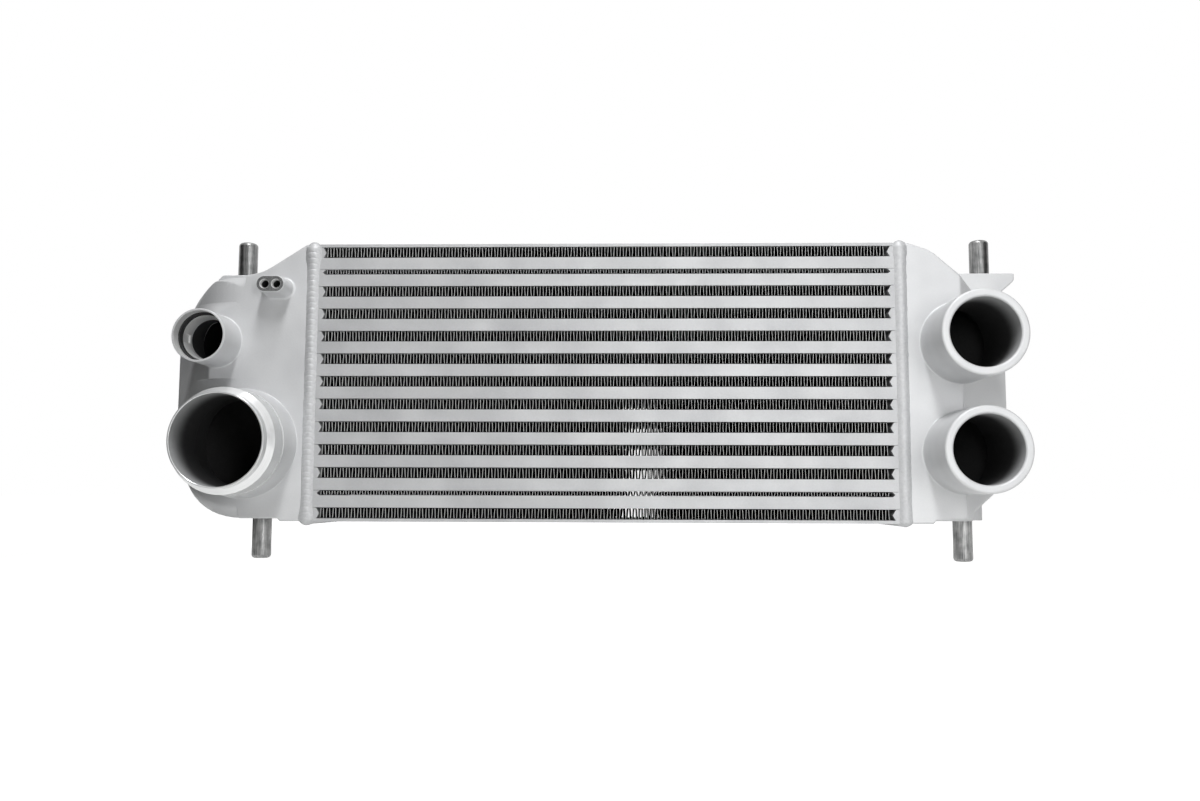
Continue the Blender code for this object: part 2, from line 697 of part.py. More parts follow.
def build_outlet(tank):
    """Cast collar with a turned adaptor pressed in it; heights run to the front."""
    place = neck_place(LEFT, OUTLET_FROM_CORE, OUTLET_RISE)
    collar = [(0, OUTLET_COLLAR_LENGTH), (OUTLET_RING_RADIUS + OUTLET_COLLAR_LIP, OUTLET_COLLAR_LENGTH),
              (OUTLET_COLLAR_RADIUS, NECK_ROOT_FLARE),
              (OUTLET_COLLAR_RADIUS + NECK_ROOT_FLARE, 0),
              (OUTLET_COLLAR_RADIUS + NECK_ROOT_FLARE, -NECK_ROOT), (0, -NECK_ROOT)]
    join(tank, add_tool("outlet_collar", turned("outlet_collar", collar, NECK_SIDES, False), place))

    seat_radius = OUTLET_TAIL_RADIUS + SEAT_GAP
    seat_floor = OUTLET_COLLAR_LENGTH - OUTLET_TAIL_LENGTH - SEAT_GAP
    bore = [(0, OUTLET_LENGTH), (seat_radius, OUTLET_LENGTH), (seat_radius, seat_floor),
            (OUTLET_BORE_RADIUS, seat_floor), (OUTLET_BORE_RADIUS, -NECK_ROOT), (0, -NECK_ROOT)]
    bore_tool = add_tool("outlet_bore", turned("outlet_bore", bore, NECK_SIDES, False), place)

    ring_back = OUTLET_COLLAR_LENGTH + SEAT_GAP
    ring_front = ring_back + OUTLET_RING_LENGTH
    spigot_back = ring_front + OUTLET_STEP
    tail_end = OUTLET_COLLAR_LENGTH - OUTLET_TAIL_LENGTH
    profile = [(OUTLET_SPIGOT_RADIUS, OUTLET_LENGTH), (OUTLET_SPIGOT_RADIUS, spigot_back),
               (OUTLET_RING_RADIUS, ring_front), (OUTLET_RING_RADIUS, ring_back),
               (OUTLET_TAIL_RADIUS, ring_back), (OUTLET_TAIL_RADIUS, tail_end),
               (OUTLET_BORE_RADIUS, tail_end), (OUTLET_BORE_RADIUS, OUTLET_LENGTH)]
    add_part("outlet_adaptor", turned("outlet_adaptor", profile, NECK_SIDES, True), TURNED, place)
    return bore_tool


def build_port_pad(tank, paths):
    """Squared corner that keeps the tank's face flat behind the bypass port."""
    sunk = [inset(path, side * PORT_PAD_SINK) for path, side in zip(paths[:3], (1, -1, 1))]
    radii = (paths[3][0], paths[3][1], (PORT_PAD_CORNER, 0))
    pad_paths = [rounded(path, corner, ARC_STEPS) for path, corner in zip(sunk, radii)]
    edge = [(0, FLANGE_EDGE), (LEFT_REACH, FLANGE_EDGE)]
    pad = add_tool("port_pad", tank_body("port_pad", LEFT, *pad_paths, edge, SEAT_GAP))
    corner_from_core = LEFT_REACH - LEFT_BEND_TO_WALL
    limit_size = (2 * (corner_from_core - LEFT_SQUARE_EDGE), CORE_DEPTH,
                  PORT_PAD_DROP + PORT_PAD_RISE)
    limit_place = (-CORE_LENGTH / 2 - corner_from_core, FRONT,
                   PORT_RISE + (PORT_PAD_RISE - PORT_PAD_DROP) / 2)
    combine(pad, add_tool("port_pad_limit", block("port_pad_limit", limit_size), limit_place),
            "INTERSECT")
    join(tank, pad)


def build_bypass_port(tank, paths):
    """Cast stub on its pad, with a turned and notched bush pressed in it."""
    place = neck_place(LEFT, PORT_FROM_CORE, PORT_RISE)
    stub = rod("bypass_port", PORT_RADIUS, PORT_LENGTH + NECK_ROOT, PORT_SIDES, front=True)
    root = (place[0], FRONT + NECK_ROOT, place[2])
    join(tank, add_tool("bypass_port", stub, root))

    build_port_pad(tank, paths)

    bush_front = PORT_LENGTH - PORT_BUSH_DEPTH
    bush_back = bush_front - PORT_BUSH_LENGTH
    bore = [(0, PORT_LENGTH + PORT_LIP), (PORT_BUSH_RADIUS, PORT_LENGTH + PORT_LIP),
            (PORT_BUSH_RADIUS, bush_back), (PORT_BORE_RADIUS, bush_back),
            (PORT_BORE_RADIUS, -NECK_ROOT), (0, -NECK_ROOT)]
    bore_tool = add_tool("bypass_port_bore", turned("bypass_port_bore", bore, PORT_SIDES, False), place)

    outer = PORT_BUSH_RADIUS - SEAT_GAP
    back = bush_back + SEAT_GAP
    profile = [(outer, bush_front), (outer, back), (PORT_BORE_RADIUS, back),
               (PORT_BORE_RADIUS, bush_front - PORT_CHAMFER),
               (PORT_BORE_RADIUS + PORT_CHAMFER, bush_front)]
    bush = add_part("bypass_port_bush", turned("bypass_port_bush", profile, PORT_SIDES, True),
                    TURNED, place)
    notch_size = (PORT_NOTCH_DEPTH * 2, PORT_NOTCH_DEPTH * 2, PORT_NOTCH_WIDTH)
    notch_place = (place[0] - PORT_BORE_RADIUS - PORT_CHAMFER / 2, FRONT - bush_front, place[2])
    cut(bush, add_tool("bush_notch", block("bush_notch", notch_size), notch_place))
    return bore_tool


def build_sensor_boss(tank):
    """Oblong cast boss with two threaded holes; returns the drills."""
    x, _, z = neck_place(LEFT, SENSOR_FROM_CORE, CORE_HEIGHT - SENSOR_DROP)
    half = SENSOR_HOLE_SPACING / 2
    rings = []
    for forward, radius in ((SENSOR_LENGTH, SENSOR_HALF_HEIGHT),
                            (0, SENSOR_HALF_HEIGHT + SENSOR_DRAFT),
                            (-TANK_WALL / 2, SENSOR_HALF_HEIGHT + SENSOR_DRAFT)):
        outline = arc((half, 0), radius, -90, 90, HOLE_SIDES // 2)
        outline += arc((-half, 0), radius, 90, 270, HOLE_SIDES // 2)
        rings.append([(across, -forward, up) for across, up in outline])
    join(tank, add_tool("sensor_boss", loft("sensor_boss", rings), (x, FRONT, z)))

    lead = SENSOR_HOLE_MOUTH - SENSOR_HOLE_RADIUS
    above = SENSOR_LENGTH + lead
    floor = SENSOR_LENGTH - SENSOR_HOLE_DEPTH
    profile = [(0, above), (SENSOR_HOLE_MOUTH + lead, above),
               (SENSOR_HOLE_RADIUS, SENSOR_LENGTH - lead), (SENSOR_HOLE_RADIUS, floor), (0, floor)]
    drill = turned("sensor_hole", profile, HOLE_SIDES, False)
    return [add_tool(f"sensor_hole_{i + 1}", drill, (x + shift, FRONT, z))
            for i, shift in enumerate((-half, half))]


def build_inlet(tank, name, height):
    """Plain cast neck with a rounded rim; returns its bore."""
    place = neck_place(RIGHT, INLET_FROM_CORE, height)
    rim = INLET_RIM_ROUNDING
    profile = [(0, INLET_LENGTH), (INLET_RADIUS - rim, INLET_LENGTH),
               (INLET_RADIUS - rim / 4, INLET_LENGTH - rim / 4),
               (INLET_RADIUS, INLET_LENGTH - rim), (INLET_RADIUS, NECK_ROOT_FLARE),
               (INLET_RADIUS + NECK_ROOT_FLARE, 0),
               (INLET_RADIUS + NECK_ROOT_FLARE, -NECK_ROOT), (0, -NECK_ROOT)]
    join(tank, add_tool(name, turned(name, profile, NECK_SIDES, False), place))
    above = INLET_LENGTH + rim
    bore = [(0, above), (INLET_BORE_RADIUS + rim * 1.5, above),
            (INLET_BORE_RADIUS, INLET_LENGTH - rim / 2), (INLET_BORE_RADIUS, -NECK_ROOT),
            (0, -NECK_ROOT)]
    return add_tool(f"{name}_bore", turned(f"{name}_bore", bore, NECK_SIDES, False), place)


def build_left_tank():
    paths = left_paths()
    body, hollow = tank_shapes("left_tank", LEFT, paths, left_edge())
    tank = add_part("left_tank", body, CAST)
    bores = [build_outlet(tank), build_bypass_port(tank, paths)]
    drills = build_sensor_boss(tank)
    shelf(tank, "upper_left_pin", LEFT, UPPER_LEFT_PIN_FROM_CORE, LEFT_SHELF_REACH, undercut=False)
    cut(tank, add_tool("left_tank_hollow", hollow))
    pins = (("upper_left_pin", UPPER_LEFT_PIN_FROM_CORE, SHELF_TOP, True),
            ("lower_left_pin", LOWER_LEFT_PIN_FROM_CORE, FLANGE_STEP, False))
    for name, from_core, seat, up in pins:
        pin_boss(tank, name, LEFT, from_core, seat, up)
        build_pin(tank, name, LEFT, from_core, seat, up)
    for tool in bores + drills:
        cut(tank, tool)


def build_right_tank():
    body, hollow = tank_shapes("right_tank", RIGHT, right_paths(), right_edge())
    tank = add_part("right_tank", body, CAST)
    bores = [build_inlet(tank, "upper_inlet", CORE_HEIGHT - INLET_UPPER_DROP),
             build_inlet(tank, "lower_inlet", INLET_LOWER_RISE)]
    shelf(tank, "upper_right_pin", RIGHT, UPPER_RIGHT_PIN_FROM_CORE, RIGHT_SHELF_REACH, undercut=True)
    cut(tank, add_tool("right_tank_hollow", hollow))
    pin_boss(tank, "lower_right_pin", RIGHT, LOWER_RIGHT_PIN_FROM_CORE, FLANGE_STEP, False)
    build_pin(tank, "upper_right_pin", RIGHT, UPPER_RIGHT_PIN_FROM_CORE, SHELF_TOP, True)
    build_pin(tank, "lower_right_pin", RIGHT, LOWER_RIGHT_PIN_FROM_CORE, FLANGE_STEP, False)
    for tool in bores:
        cut(tank, tool)


build_core()
build_left_tank()
build_right_tank()
build_weld_bead("left_weld_bead", LEFT)
build_weld_bead("right_weld_bead", RIGHT)
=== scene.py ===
# %% [markdown]
# # A bar-and-plate intercooler
# This cooler takes the heat out of the air that a turbocharger has squeezed. Charge air
# enters one cast end tank, runs through a brazed aluminium core and leaves by the other
# tank, while outside air blows through the folded fins. The engineering model gives every
# piece its place; this lesson dresses it, piece by piece, in metres and in its own frame:
# X to the right, Y to the back, Z up.

# %% Load the engineering model
import math
import random

import bmesh
import bpy
import numpy as np
from mathutils import Matrix, Vector


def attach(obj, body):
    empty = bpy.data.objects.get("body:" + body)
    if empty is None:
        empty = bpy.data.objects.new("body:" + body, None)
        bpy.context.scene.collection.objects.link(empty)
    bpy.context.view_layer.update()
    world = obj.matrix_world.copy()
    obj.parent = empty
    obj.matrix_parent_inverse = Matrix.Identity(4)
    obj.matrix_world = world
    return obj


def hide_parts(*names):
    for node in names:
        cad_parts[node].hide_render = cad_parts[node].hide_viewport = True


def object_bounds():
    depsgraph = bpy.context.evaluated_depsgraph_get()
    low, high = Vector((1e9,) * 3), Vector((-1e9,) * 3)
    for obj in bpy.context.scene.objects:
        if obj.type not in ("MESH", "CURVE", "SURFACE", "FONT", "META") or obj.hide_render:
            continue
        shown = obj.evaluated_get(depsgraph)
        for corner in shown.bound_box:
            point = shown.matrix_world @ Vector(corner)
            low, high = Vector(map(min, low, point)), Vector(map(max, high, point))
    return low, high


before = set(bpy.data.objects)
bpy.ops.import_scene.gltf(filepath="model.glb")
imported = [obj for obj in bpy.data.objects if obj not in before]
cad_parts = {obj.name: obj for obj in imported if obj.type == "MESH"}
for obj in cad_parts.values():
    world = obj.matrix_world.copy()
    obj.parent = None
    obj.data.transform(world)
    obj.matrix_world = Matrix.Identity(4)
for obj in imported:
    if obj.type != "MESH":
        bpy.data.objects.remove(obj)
cad_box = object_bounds()
print("nodes loaded:", len(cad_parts))
print("model box:", [round(v, 4) for corner in cad_box for v in corner])

# %% [markdown]
# ## The numbers that the pieces share
# The core is a stack: side plate, fins, charge passage, fins, and so on. Its height isn't
# typed in anywhere, because it follows from the layers. Reading the heights from the layers
# keeps every later piece in step with the stack.

# %% Layers of the core
SEAT_GAP = 0.0003
CORE_LENGTH = 0.485
CORE_DEPTH = 0.089
SIDE_PLATE = 0.0025
TALL_FIN = 0.0089
SHORT_FIN = 0.00424
FIN_ROWS = 13
PASSAGE = 0.00985
END_BAR_WIDTH = 0.008
END_BAR_POINT = 0.0025

row_heights = [TALL_FIN] * FIN_ROWS
row_heights[1] = row_heights[-2] = SHORT_FIN
CORE_HEIGHT = 2 * SIDE_PLATE + sum(row_heights) + (FIN_ROWS - 1) * PASSAGE
FRONT = -CORE_DEPTH / 2
LEFT, RIGHT = -1, 1
print("core height:", round(CORE_HEIGHT, 5))

# %% [markdown]
# ## Small helpers
# Colours are written the way a colour picker shows them, as sRGB hex, and Blender's nodes
# want them linear, so one function turns the first into the second. Another adds a node
# with its settings and its links in one line, which keeps each material readable.

# %% Colour and node helpers
def linear(hex_colour):
    """An sRGB hex colour as the linear RGBA that shaders use."""
    shown = [int(hex_colour[i:i + 2], 16) / 255 for i in (1, 3, 5)]
    return (*(c / 12.92 if c <= 0.04045 else ((c + 0.055) / 1.055) ** 2.4 for c in shown), 1.0)


def add_node(tree, kind, sockets=None, links=None, **options):
    """Add a node, set its options and socket values, and link other nodes' outputs to it."""
    node = tree.nodes.new(kind)
    for name, value in options.items():
        setattr(node, name, value)
    for name, value in (sockets or {}).items():
        node.inputs[name].default_value = value
    for name, source in (links or {}).items():
        tree.links.new(source, node.inputs[name])
    return node


def new_finish(name):
    """A material with an empty node tree."""
    finish = bpy.data.materials.new(name)
    finish.use_nodes = True
    finish.node_tree.nodes.clear()
    return finish, finish.node_tree


# %% [markdown]
# ## Placing a piece
# Every new piece rides on the one body of this model, because nothing on an intercooler
# moves, and it says which plain engineering node it stands for. Edges sharper than the
# given angle stay sharp, and weighted normals keep large faces flat in the light.

# %% Place a piece and hide the plain node it stands for
def stand(name, data):
    """An object in the scene that shows the data."""
    thing = bpy.data.objects.new(name, data)
    bpy.context.scene.collection.objects.link(thing)
    return thing


def finished(mesh, *finishes):
    """The mesh with its finishes in their slots."""
    for finish in finishes:
        mesh.materials.append(finish)
    return mesh


def place_piece(mesh, stands_for, location=(0, 0, 0), sharp=None):
    piece = stand(mesh.name, mesh)
    piece.location = location
    bpy.context.view_layer.update()
    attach(piece, "root")
    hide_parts(stands_for)
    if sharp:
        mesh.shade_smooth()
        mesh.set_sharp_from_angle(angle=math.radians(sharp))
        piece.modifiers.new("flat faces stay flat", "WEIGHTED_NORMAL").keep_sharp = True


# %% [markdown]
# ## Finishes made of grain
# The finishes of the pieces are all built alike. One or two patterns of noise, each drawn
# from a real size, decide how light a spot is and how high it lies, and one surface shader
# takes both. The function below builds such a finish from its numbers, so the cells after
# it only say what each finish has of its own.

# %% Build a finish from its grain
def grained_finish(name, grains, tones, reliefs, surface, share=0.0, cover=None):
    """A finish whose tone and relief follow noise in the piece's own frame.

    grains: one or two of (size, noise settings), then a function if the noise is bent
    tones: (position, colour) of the dark and of the light end
    reliefs: (number of the grain, strength, height), the lowest layer first
    share: how much of the first grain is added to the second in the tone
    cover: a colour laid over the rest, and a function that gives its share
    """
    finish, tree = new_finish(name)
    place = add_node(tree, "ShaderNodeTexCoord").outputs["Object"]
    patterns = []
    for size, settings, *bent in grains:
        noise = add_node(tree, "ShaderNodeTexNoise", {"Scale": 1 / size, **settings},
                         {"Vector": bent[0](tree, place) if bent else place})
        patterns.append(noise.outputs["Fac"])
    mottle = patterns[0]
    if share:
        mottle = add_node(tree, "ShaderNodeMath", {1: share}, {0: patterns[0], 2: patterns[1]},
                          operation="MULTIPLY_ADD").outputs[0]
    ramp = add_node(tree, "ShaderNodeValToRGB", links={"Fac": mottle})
    for end, (position, colour) in zip(ramp.color_ramp.elements, tones):
        end.position, end.color = position, linear(colour)
    tone = ramp.outputs["Color"]
    if cover:
        tone = add_node(tree, "ShaderNodeMix", {7: linear(cover[0])},
                        {0: cover[1](tree, place), 6: tone}, data_type="RGBA").outputs[2]
    below = {}
    for number, strength, height in reliefs:
        bump = add_node(tree, "ShaderNodeBump", {"Strength": strength, "Distance": height},
                        {"Height": patterns[number], **below})
        below = {"Normal": bump.outputs["Normal"]}
    skin = add_node(tree, "ShaderNodeBsdfPrincipled", surface, {"Base Color": tone, **below})
    add_node(tree, "ShaderNodeOutputMaterial", links={"Surface": skin.outputs["BSDF"]})
    print("made", name)
    return finish


# %% [markdown]
# ## Silver lacquer
# Core, tanks and welds are sprayed with the same silver lacquer: fine aluminium flakes in a
# clear binder. It is neither a bare metal nor a plain grey paint. Flakes lying at all angles
# scatter the light widely, so the metallic share stays low and the roughness high, and
# what changes from piece to piece is the ground under it. On the brazed bars the ground is
# smooth and only the spray's own grain shows. The grain is drawn 1.1 mm wide, coarser than
# the real 0.3 mm, because a pixel of the picture covers almost a millimetre.

# %% Lacquer over the brazed core
SPRAY_GRAIN = 0.0011
SPRAY_CLOUD = 0.035

coated_core = grained_finish(
    "silver_lacquer_over_brazed_core",
    [(SPRAY_GRAIN, {"Detail": 3.0, "Roughness": 0.6}), (SPRAY_CLOUD, {"Detail": 2.0})],
    [(0.35, "#ABACAE"), (1.0, "#C6C7C8")], [(0, 0.5, 0.00014)],
    {"Metallic": 0.2, "Roughness": 0.5, "IOR": 1.5}, share=0.35)

# %% [markdown]
# The tanks are sand castings. Their skin keeps the print of the sand, half a millimetre
# wide and drawn at 1.4 mm so that it shows, and the faces swell and dip a little over a
# few centimetres because a casting shrinks unevenly. The lacquer softens the sand print
# but doesn't hide it. Two noise patterns of different size, added as relief, give both.

# %% Lacquer over the castings
SAND_GRAIN = 0.0014
CASTING_WAVE = 0.028

coated_casting = grained_finish(
    "silver_lacquer_over_sand_casting",
    [(SAND_GRAIN, {"Detail": 3.0, "Roughness": 0.65}), (CASTING_WAVE, {"Detail": 1.0})],
    [(0.3, "#C4C5C7"), (1.0, "#D5D6D7")], [(1, 0.5, 0.0012), (0, 0.4, 0.00016)],
    {"Metallic": 0.2, "Roughness": 0.52, "IOR": 1.5}, share=0.3)

# %% [markdown]
# A weld bead is metal that has flowed, so under the lacquer it is smoother than the sand
# casting. Its ripples are real shape, modelled further down; the material only adds the
# fine wrinkles between them, about 2 mm long.

# %% Lacquer over the weld
WELD_WRINKLE = 0.002

coated_weld = grained_finish(
    "silver_lacquer_over_weld", [(WELD_WRINKLE, {"Detail": 2.0})],
    [(0.3, "#B9BABC"), (0.8, "#C8C9CA")], [(0, 0.3, 0.0002)],
    {"Metallic": 0.2, "Roughness": 0.52, "IOR": 1.5})

# %% [markdown]
# Nobody sprays the inside of a tank. Some lacquer drifts a few centimetres into each neck,
# and beyond it the inside is painted near black: painted shade for the dark in the hollow,
# fading into the lacquer colour towards the mouth. The necks' own frames have
# their origin on the core's front plane, so a point's Y says how far it lies behind the
# rim, and the same finish serves the hollows, where no lacquer comes at all.

# %% Painted shade inside the casting, with drifted lacquer at the mouth
DRIFT_AND_SHADE_START = 0.056
DRIFT_AND_SHADE_END = 0.026


def drifted(tree, place):
    """How much lacquer colour shows at a point, from its depth behind the rim; the rest is painted
    shade.
    """
    axes = add_node(tree, "ShaderNodeSeparateXYZ", links={0: place})
    return add_node(tree, "ShaderNodeMapRange", {"From Min": -DRIFT_AND_SHADE_END, "From Max": -DRIFT_AND_SHADE_START},
                    {"Value": axes.outputs["Y"]}, interpolation_type="SMOOTHSTEP").outputs["Result"]


# The near-black tones are painted shade, not the colour of bare cast aluminium.
dark_inside_painted_shade = grained_finish(
    "sand_casting_inside_painted_shade", [(SAND_GRAIN, {"Detail": 3.0})],
    [(0.0, "#222223"), (1.0, "#323233")], [(0, 0.5, 0.0002)],
    {"Metallic": 0.0, "Roughness": 0.75, "IOR": 1.45}, cover=("#A9AAAB", drifted))

# %% [markdown]
# ## Fin foil
# The fins are rolled aluminium foil. The lacquer was sprayed at the finished cooler from the
# front and the back, so it reached only the foil's edges and the first millimetre or so;
# further in, the bare foil is given a near-black colour that mirrors nothing: painted shade
# for the dark between the folds, which makes the rows look black with thin bright lines.
# The depth of a point below the nearer face of the core, read from its own Y, mixes the
# two. The crowns, where the foil touches the bars, get a darker copy of the same finish:
# partly the stain of the melted filler, partly painted shade in the bars' shelter.

# %% Foil with lacquered edges and painted shade, and its crowns
SPRAY_AND_SHADE_REACH = 0.0014
FOIL_STREAK = 0.004


def sprayed(tree, place):
    """1 at the core's front and back, and 0 deeper, where the painted shade takes over."""
    axes = add_node(tree, "ShaderNodeSeparateXYZ", links={0: place})
    from_middle = add_node(tree, "ShaderNodeMath", links={0: axes.outputs["Y"]},
                           operation="ABSOLUTE")
    return add_node(tree, "ShaderNodeMapRange",
                    {"From Min": CORE_DEPTH / 2 - SPRAY_AND_SHADE_REACH, "From Max": CORE_DEPTH / 2},
                    {"Value": from_middle.outputs["Value"]}).outputs["Result"]


# The near-black tones below the lacquered edges are painted shade, not the colour of bare foil.
foil_with_painted_shade, crown_stain_and_painted_shade = [
    grained_finish(name, [(FOIL_STREAK, {"Detail": 2.0})], [(0.0, "#0E0E0F"), (1.0, "#1E1F20")], [],
                   {"Metallic": 0.0, "Roughness": 0.8, "IOR": 1.45, "Specular IOR Level": 0.0},
                   cover=(colour, sprayed))
    for name, colour in (("rolled_foil_sprayed_edges_painted_shade", "#E0E1E1"),
                         ("rolled_foil_crown_stain_painted_shade", "#2A2A2B"))]

# %% [markdown]
# The turbulators lie inside the charge passages, where no lacquer ever comes. They keep the
# dull satin of foil that has been through the furnace, with rolling lines along their
# length. The lines are drawn 1.2 mm apart, coarser than the rolls leave them.

# %% Bare foil of the turbulators
ROLLING_LINE = 0.0012


def along_rows(tree, place):
    return add_node(tree, "ShaderNodeMapping", {"Scale": (0.05, 1.0, 1.0)},
                    {"Vector": place}).outputs[0]


bare_foil = grained_finish(
    "rolled_foil_bare", [(ROLLING_LINE, {"Detail": 2.0}, along_rows)],
    [(0.0, "#8E9092"), (1.0, "#B4B6B8")], [], {"Metallic": 1.0, "Roughness": 0.4})

# %% [markdown]
# ## Turned aluminium
# The adaptor is machined and left bare. A lathe leaves fine rings: round lines on a face,
# and bands on a barrel. Both are the same pattern if it is drawn from the distance to the
# axis plus the distance along it, which the function below works out in the piece's own
# frame. The feed marks are drawn 0.9 mm apart, coarser than the real 0.2 mm, or they would
# vanish. Thin rings also spring under the tool, which leaves slow waves about 9 mm long
# that break a highlight into patches.

# %% Bare turned aluminium
FEED_MARK = 0.0009
CHATTER = 0.009


def along_tool(tree, place):
    """How far the tool has travelled: the distance from the axis plus the one along it."""
    axes = add_node(tree, "ShaderNodeSeparateXYZ", links={0: place})
    flat = add_node(tree, "ShaderNodeCombineXYZ",
                    links={"X": axes.outputs["X"], "Z": axes.outputs["Z"]})
    radius = add_node(tree, "ShaderNodeVectorMath", links={0: flat.outputs[0]}, operation="LENGTH")
    travel = add_node(tree, "ShaderNodeMath",
                      links={0: radius.outputs["Value"], 1: axes.outputs["Y"]}, operation="ADD")
    return add_node(tree, "ShaderNodeCombineXYZ", links={"X": travel.outputs[0]}).outputs[0]


turned_aluminium = grained_finish(
    "turned_aluminium_bare",
    [(FEED_MARK, {"Detail": 3.0}, along_tool), (CHATTER, {"Detail": 1.0})],
    [(0.0, "#C4C5C6"), (1.0, "#ECEDED")], [(1, 0.6, 0.001), (0, 0.25, 0.00005)],
    {"Metallic": 0.5, "Roughness": 0.28})

# %% [markdown]
# Bored and drilled walls are cut dry with a worn tool. They are as bright as the turned
# faces, but the fine tearing scatters the light, so they shine softly from any side instead
# of mirroring the dark inside of the bore. The tearing is drawn 0.7 mm wide, far coarser
# than the real one.

# %% Bare bored aluminium
BORING_TEAR = 0.0007

bored_aluminium = grained_finish(
    "bored_aluminium_bare", [(BORING_TEAR, {"Detail": 3.0})],
    [(0.0, "#D4D5D5"), (1.0, "#F2F2F2")], [(0, 0.3, 0.0001)],
    {"Metallic": 0.35, "Roughness": 0.45})

# %% [markdown]
# The pins are drawn steel bar, plated so that they don't rust. Drawing leaves faint lines
# along the bar, shown here a millimetre apart; plating leaves a cool grey, brighter than
# steel and duller than chrome, with cloudy spots half a centimetre wide where it was
# handled.

# %% Plated steel of the pins
DRAWN_LINE = 0.001
HANDLED_SPOT = 0.006


def along_bar(tree, place):
    return add_node(tree, "ShaderNodeMapping", {"Scale": (1.0, 1.0, 0.06)},
                    {"Vector": place}).outputs[0]


plated_steel = grained_finish(
    "plated_drawn_steel",
    [(HANDLED_SPOT, {"Detail": 3.0}), (DRAWN_LINE, {"Detail": 3.0}, along_bar)],
    [(0.5, "#5C5D5E"), (1.0, "#A5A5A4")], [(1, 0.35, 0.00008)],
    {"Metallic": 1.0, "Roughness": 0.36}, share=0.5)

# %% [markdown]
# The end of the sensor boss was milled flat after the lacquer, so it shows bare metal. A
# coarse cutter leaves it dull and darker than the lacquer round it, with a torn grain.

# %% Milled face
TORN_GRAIN = 0.0012

milled_face = grained_finish(
    "aluminium_milled_dull", [(TORN_GRAIN, {"Detail": 4.0, "Roughness": 0.7})],
    [(0.3, "#4E4F50"), (0.75, "#808181")], [(0, 0.4, 0.00015)],
    {"Metallic": 0.5, "Roughness": 0.55})

# %% [markdown]
# ## The brazed core
# The charge passages, with their bars and sheets, and the two side plates already have the
# right shape in the engineering model: straight bars with crisp edges. They stay as they
# are, and so do the turbulators hidden inside; each only gets its finish.

# %% Finish the nodes that stay
kept_finishes = {"charge_tube": coated_core, "side_plate": coated_core, "turbulator": bare_foil}
dressed = 0
for node_name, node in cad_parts.items():
    for part_of_name, finish in kept_finishes.items():
        if part_of_name in node_name:
            for slot in node.material_slots:
                slot.material = finish
            dressed += 1
print("nodes finished:", dressed)

# %% [markdown]
# ## Folded fins
# A fin row is one strip of foil, folded up and down at about ten folds an inch. Seen from
# the front only the foil's edge shows, as a line of narrow hoops. The strip could be an
# array of one fold, but a press never makes two folds quite alike, so it is drawn here as one
# long line whose legs lean and stray by a tenth of a millimetre, and the line is then drawn
# out through the depth of the core and given its thickness. The rows aren't laid in quite
# straight: each one is turned by about a degree and swings a millimetre to either side on
# its way back, so the white behind the cooler is seen only through a small patch of each.

# %% Line of one fin row
TALL_LEG = 0.00254
SHORT_LEG = 0.00228
LEG_LEAN = 0.00016
LEG_STRAY = 0.00013
FOIL = 0.00026
BEND_RADIUS = 0.0006
SHARPEST_BEND = 0.3


def fin_line(height, leg, length, stray):
    """Points (x, z) of a folded strip, from left to right; z runs from 0 to height."""
    count = round(length / leg)
    leg = length / count
    bend = min(BEND_RADIUS, height / 4)
    tight = bend * SHARPEST_BEND
    line = []
    for k in range(count + 1):
        x = -length / 2 + k * leg
        way = 1 if k % 2 == 0 else -1
        low_x, high_x = x - way * LEG_LEAN + stray(), x + way * LEG_LEAN + stray()
        rise = [(low_x - way * bend, 0), (low_x - way * tight, tight), (low_x, bend),
                ((low_x + high_x) / 2 + stray(), height / 2), (high_x, height - bend),
                (high_x + way * tight, height - tight), (high_x + way * bend, height)]
        line += rise[::way]
    return line


# %% From a drawn shape to a mesh, and from an object's modifiers to a mesh
def to_mesh(name, shape):
    mesh = bpy.data.meshes.new(name)
    shape.to_mesh(mesh)
    shape.free()
    return mesh


def discard(thing):
    """Remove an object and its mesh."""
    mesh = thing.data
    bpy.data.objects.remove(thing, do_unlink=True)
    bpy.data.meshes.remove(mesh)


def applied(source, name):
    """The mesh that an object's modifiers leave; the object itself is removed."""
    bpy.context.view_layer.update()
    shown = source.evaluated_get(bpy.context.evaluated_depsgraph_get())
    mesh = bpy.data.meshes.new_from_object(shown)
    discard(source)
    mesh.name = name
    return mesh


# %% Draw a strip out and give it its thickness
FIN_WAVE = 0.00095
WAVE_PLACES = ((-1.0, 0), (-0.4, 1), (0.4, -1), (1.0, 0))
FOIL_SHARP = 40


def fin_mesh(name, line, base, turn):
    """The line drawn out from front to back, with the darker finish, stain and painted shade, on
    its crowns.
    """
    half, height = CORE_DEPTH / 2, max(z for _, z in line)
    shape = bmesh.new()
    rows = []
    for along, wave in WAVE_PLACES:
        y = along * half
        shift = math.tan(turn) * (y + half) + wave * FIN_WAVE
        rows.append([shape.verts.new((x + shift, y, base + z)) for x, z in line])
    for near, far in zip(rows, rows[1:]):
        for i in range(len(line) - 1):
            face = shape.faces.new((near[i], near[i + 1], far[i + 1], far[i]))
            middle = (line[i][1] + line[i + 1][1]) / 2
            # Faces at the crowns get the darker finish: filler stain and painted shade.
            face.material_index = int(min(middle, height - middle) < BEND_RADIUS / 2)
    source = stand(name, finished(to_mesh(name, shape), foil_with_painted_shade, crown_stain_and_painted_shade))
    skin = source.modifiers.new("foil", "SOLIDIFY")
    skin.thickness, skin.offset = FOIL, 0
    mesh = applied(source, name)
    mesh.shade_smooth()
    mesh.set_sharp_from_angle(angle=math.radians(FOIL_SHARP))
    return mesh


# %% Lay the rows in the core
ROW_TURN = math.radians(1.25)
ROW_TURN_SPREAD = math.radians(0.35)

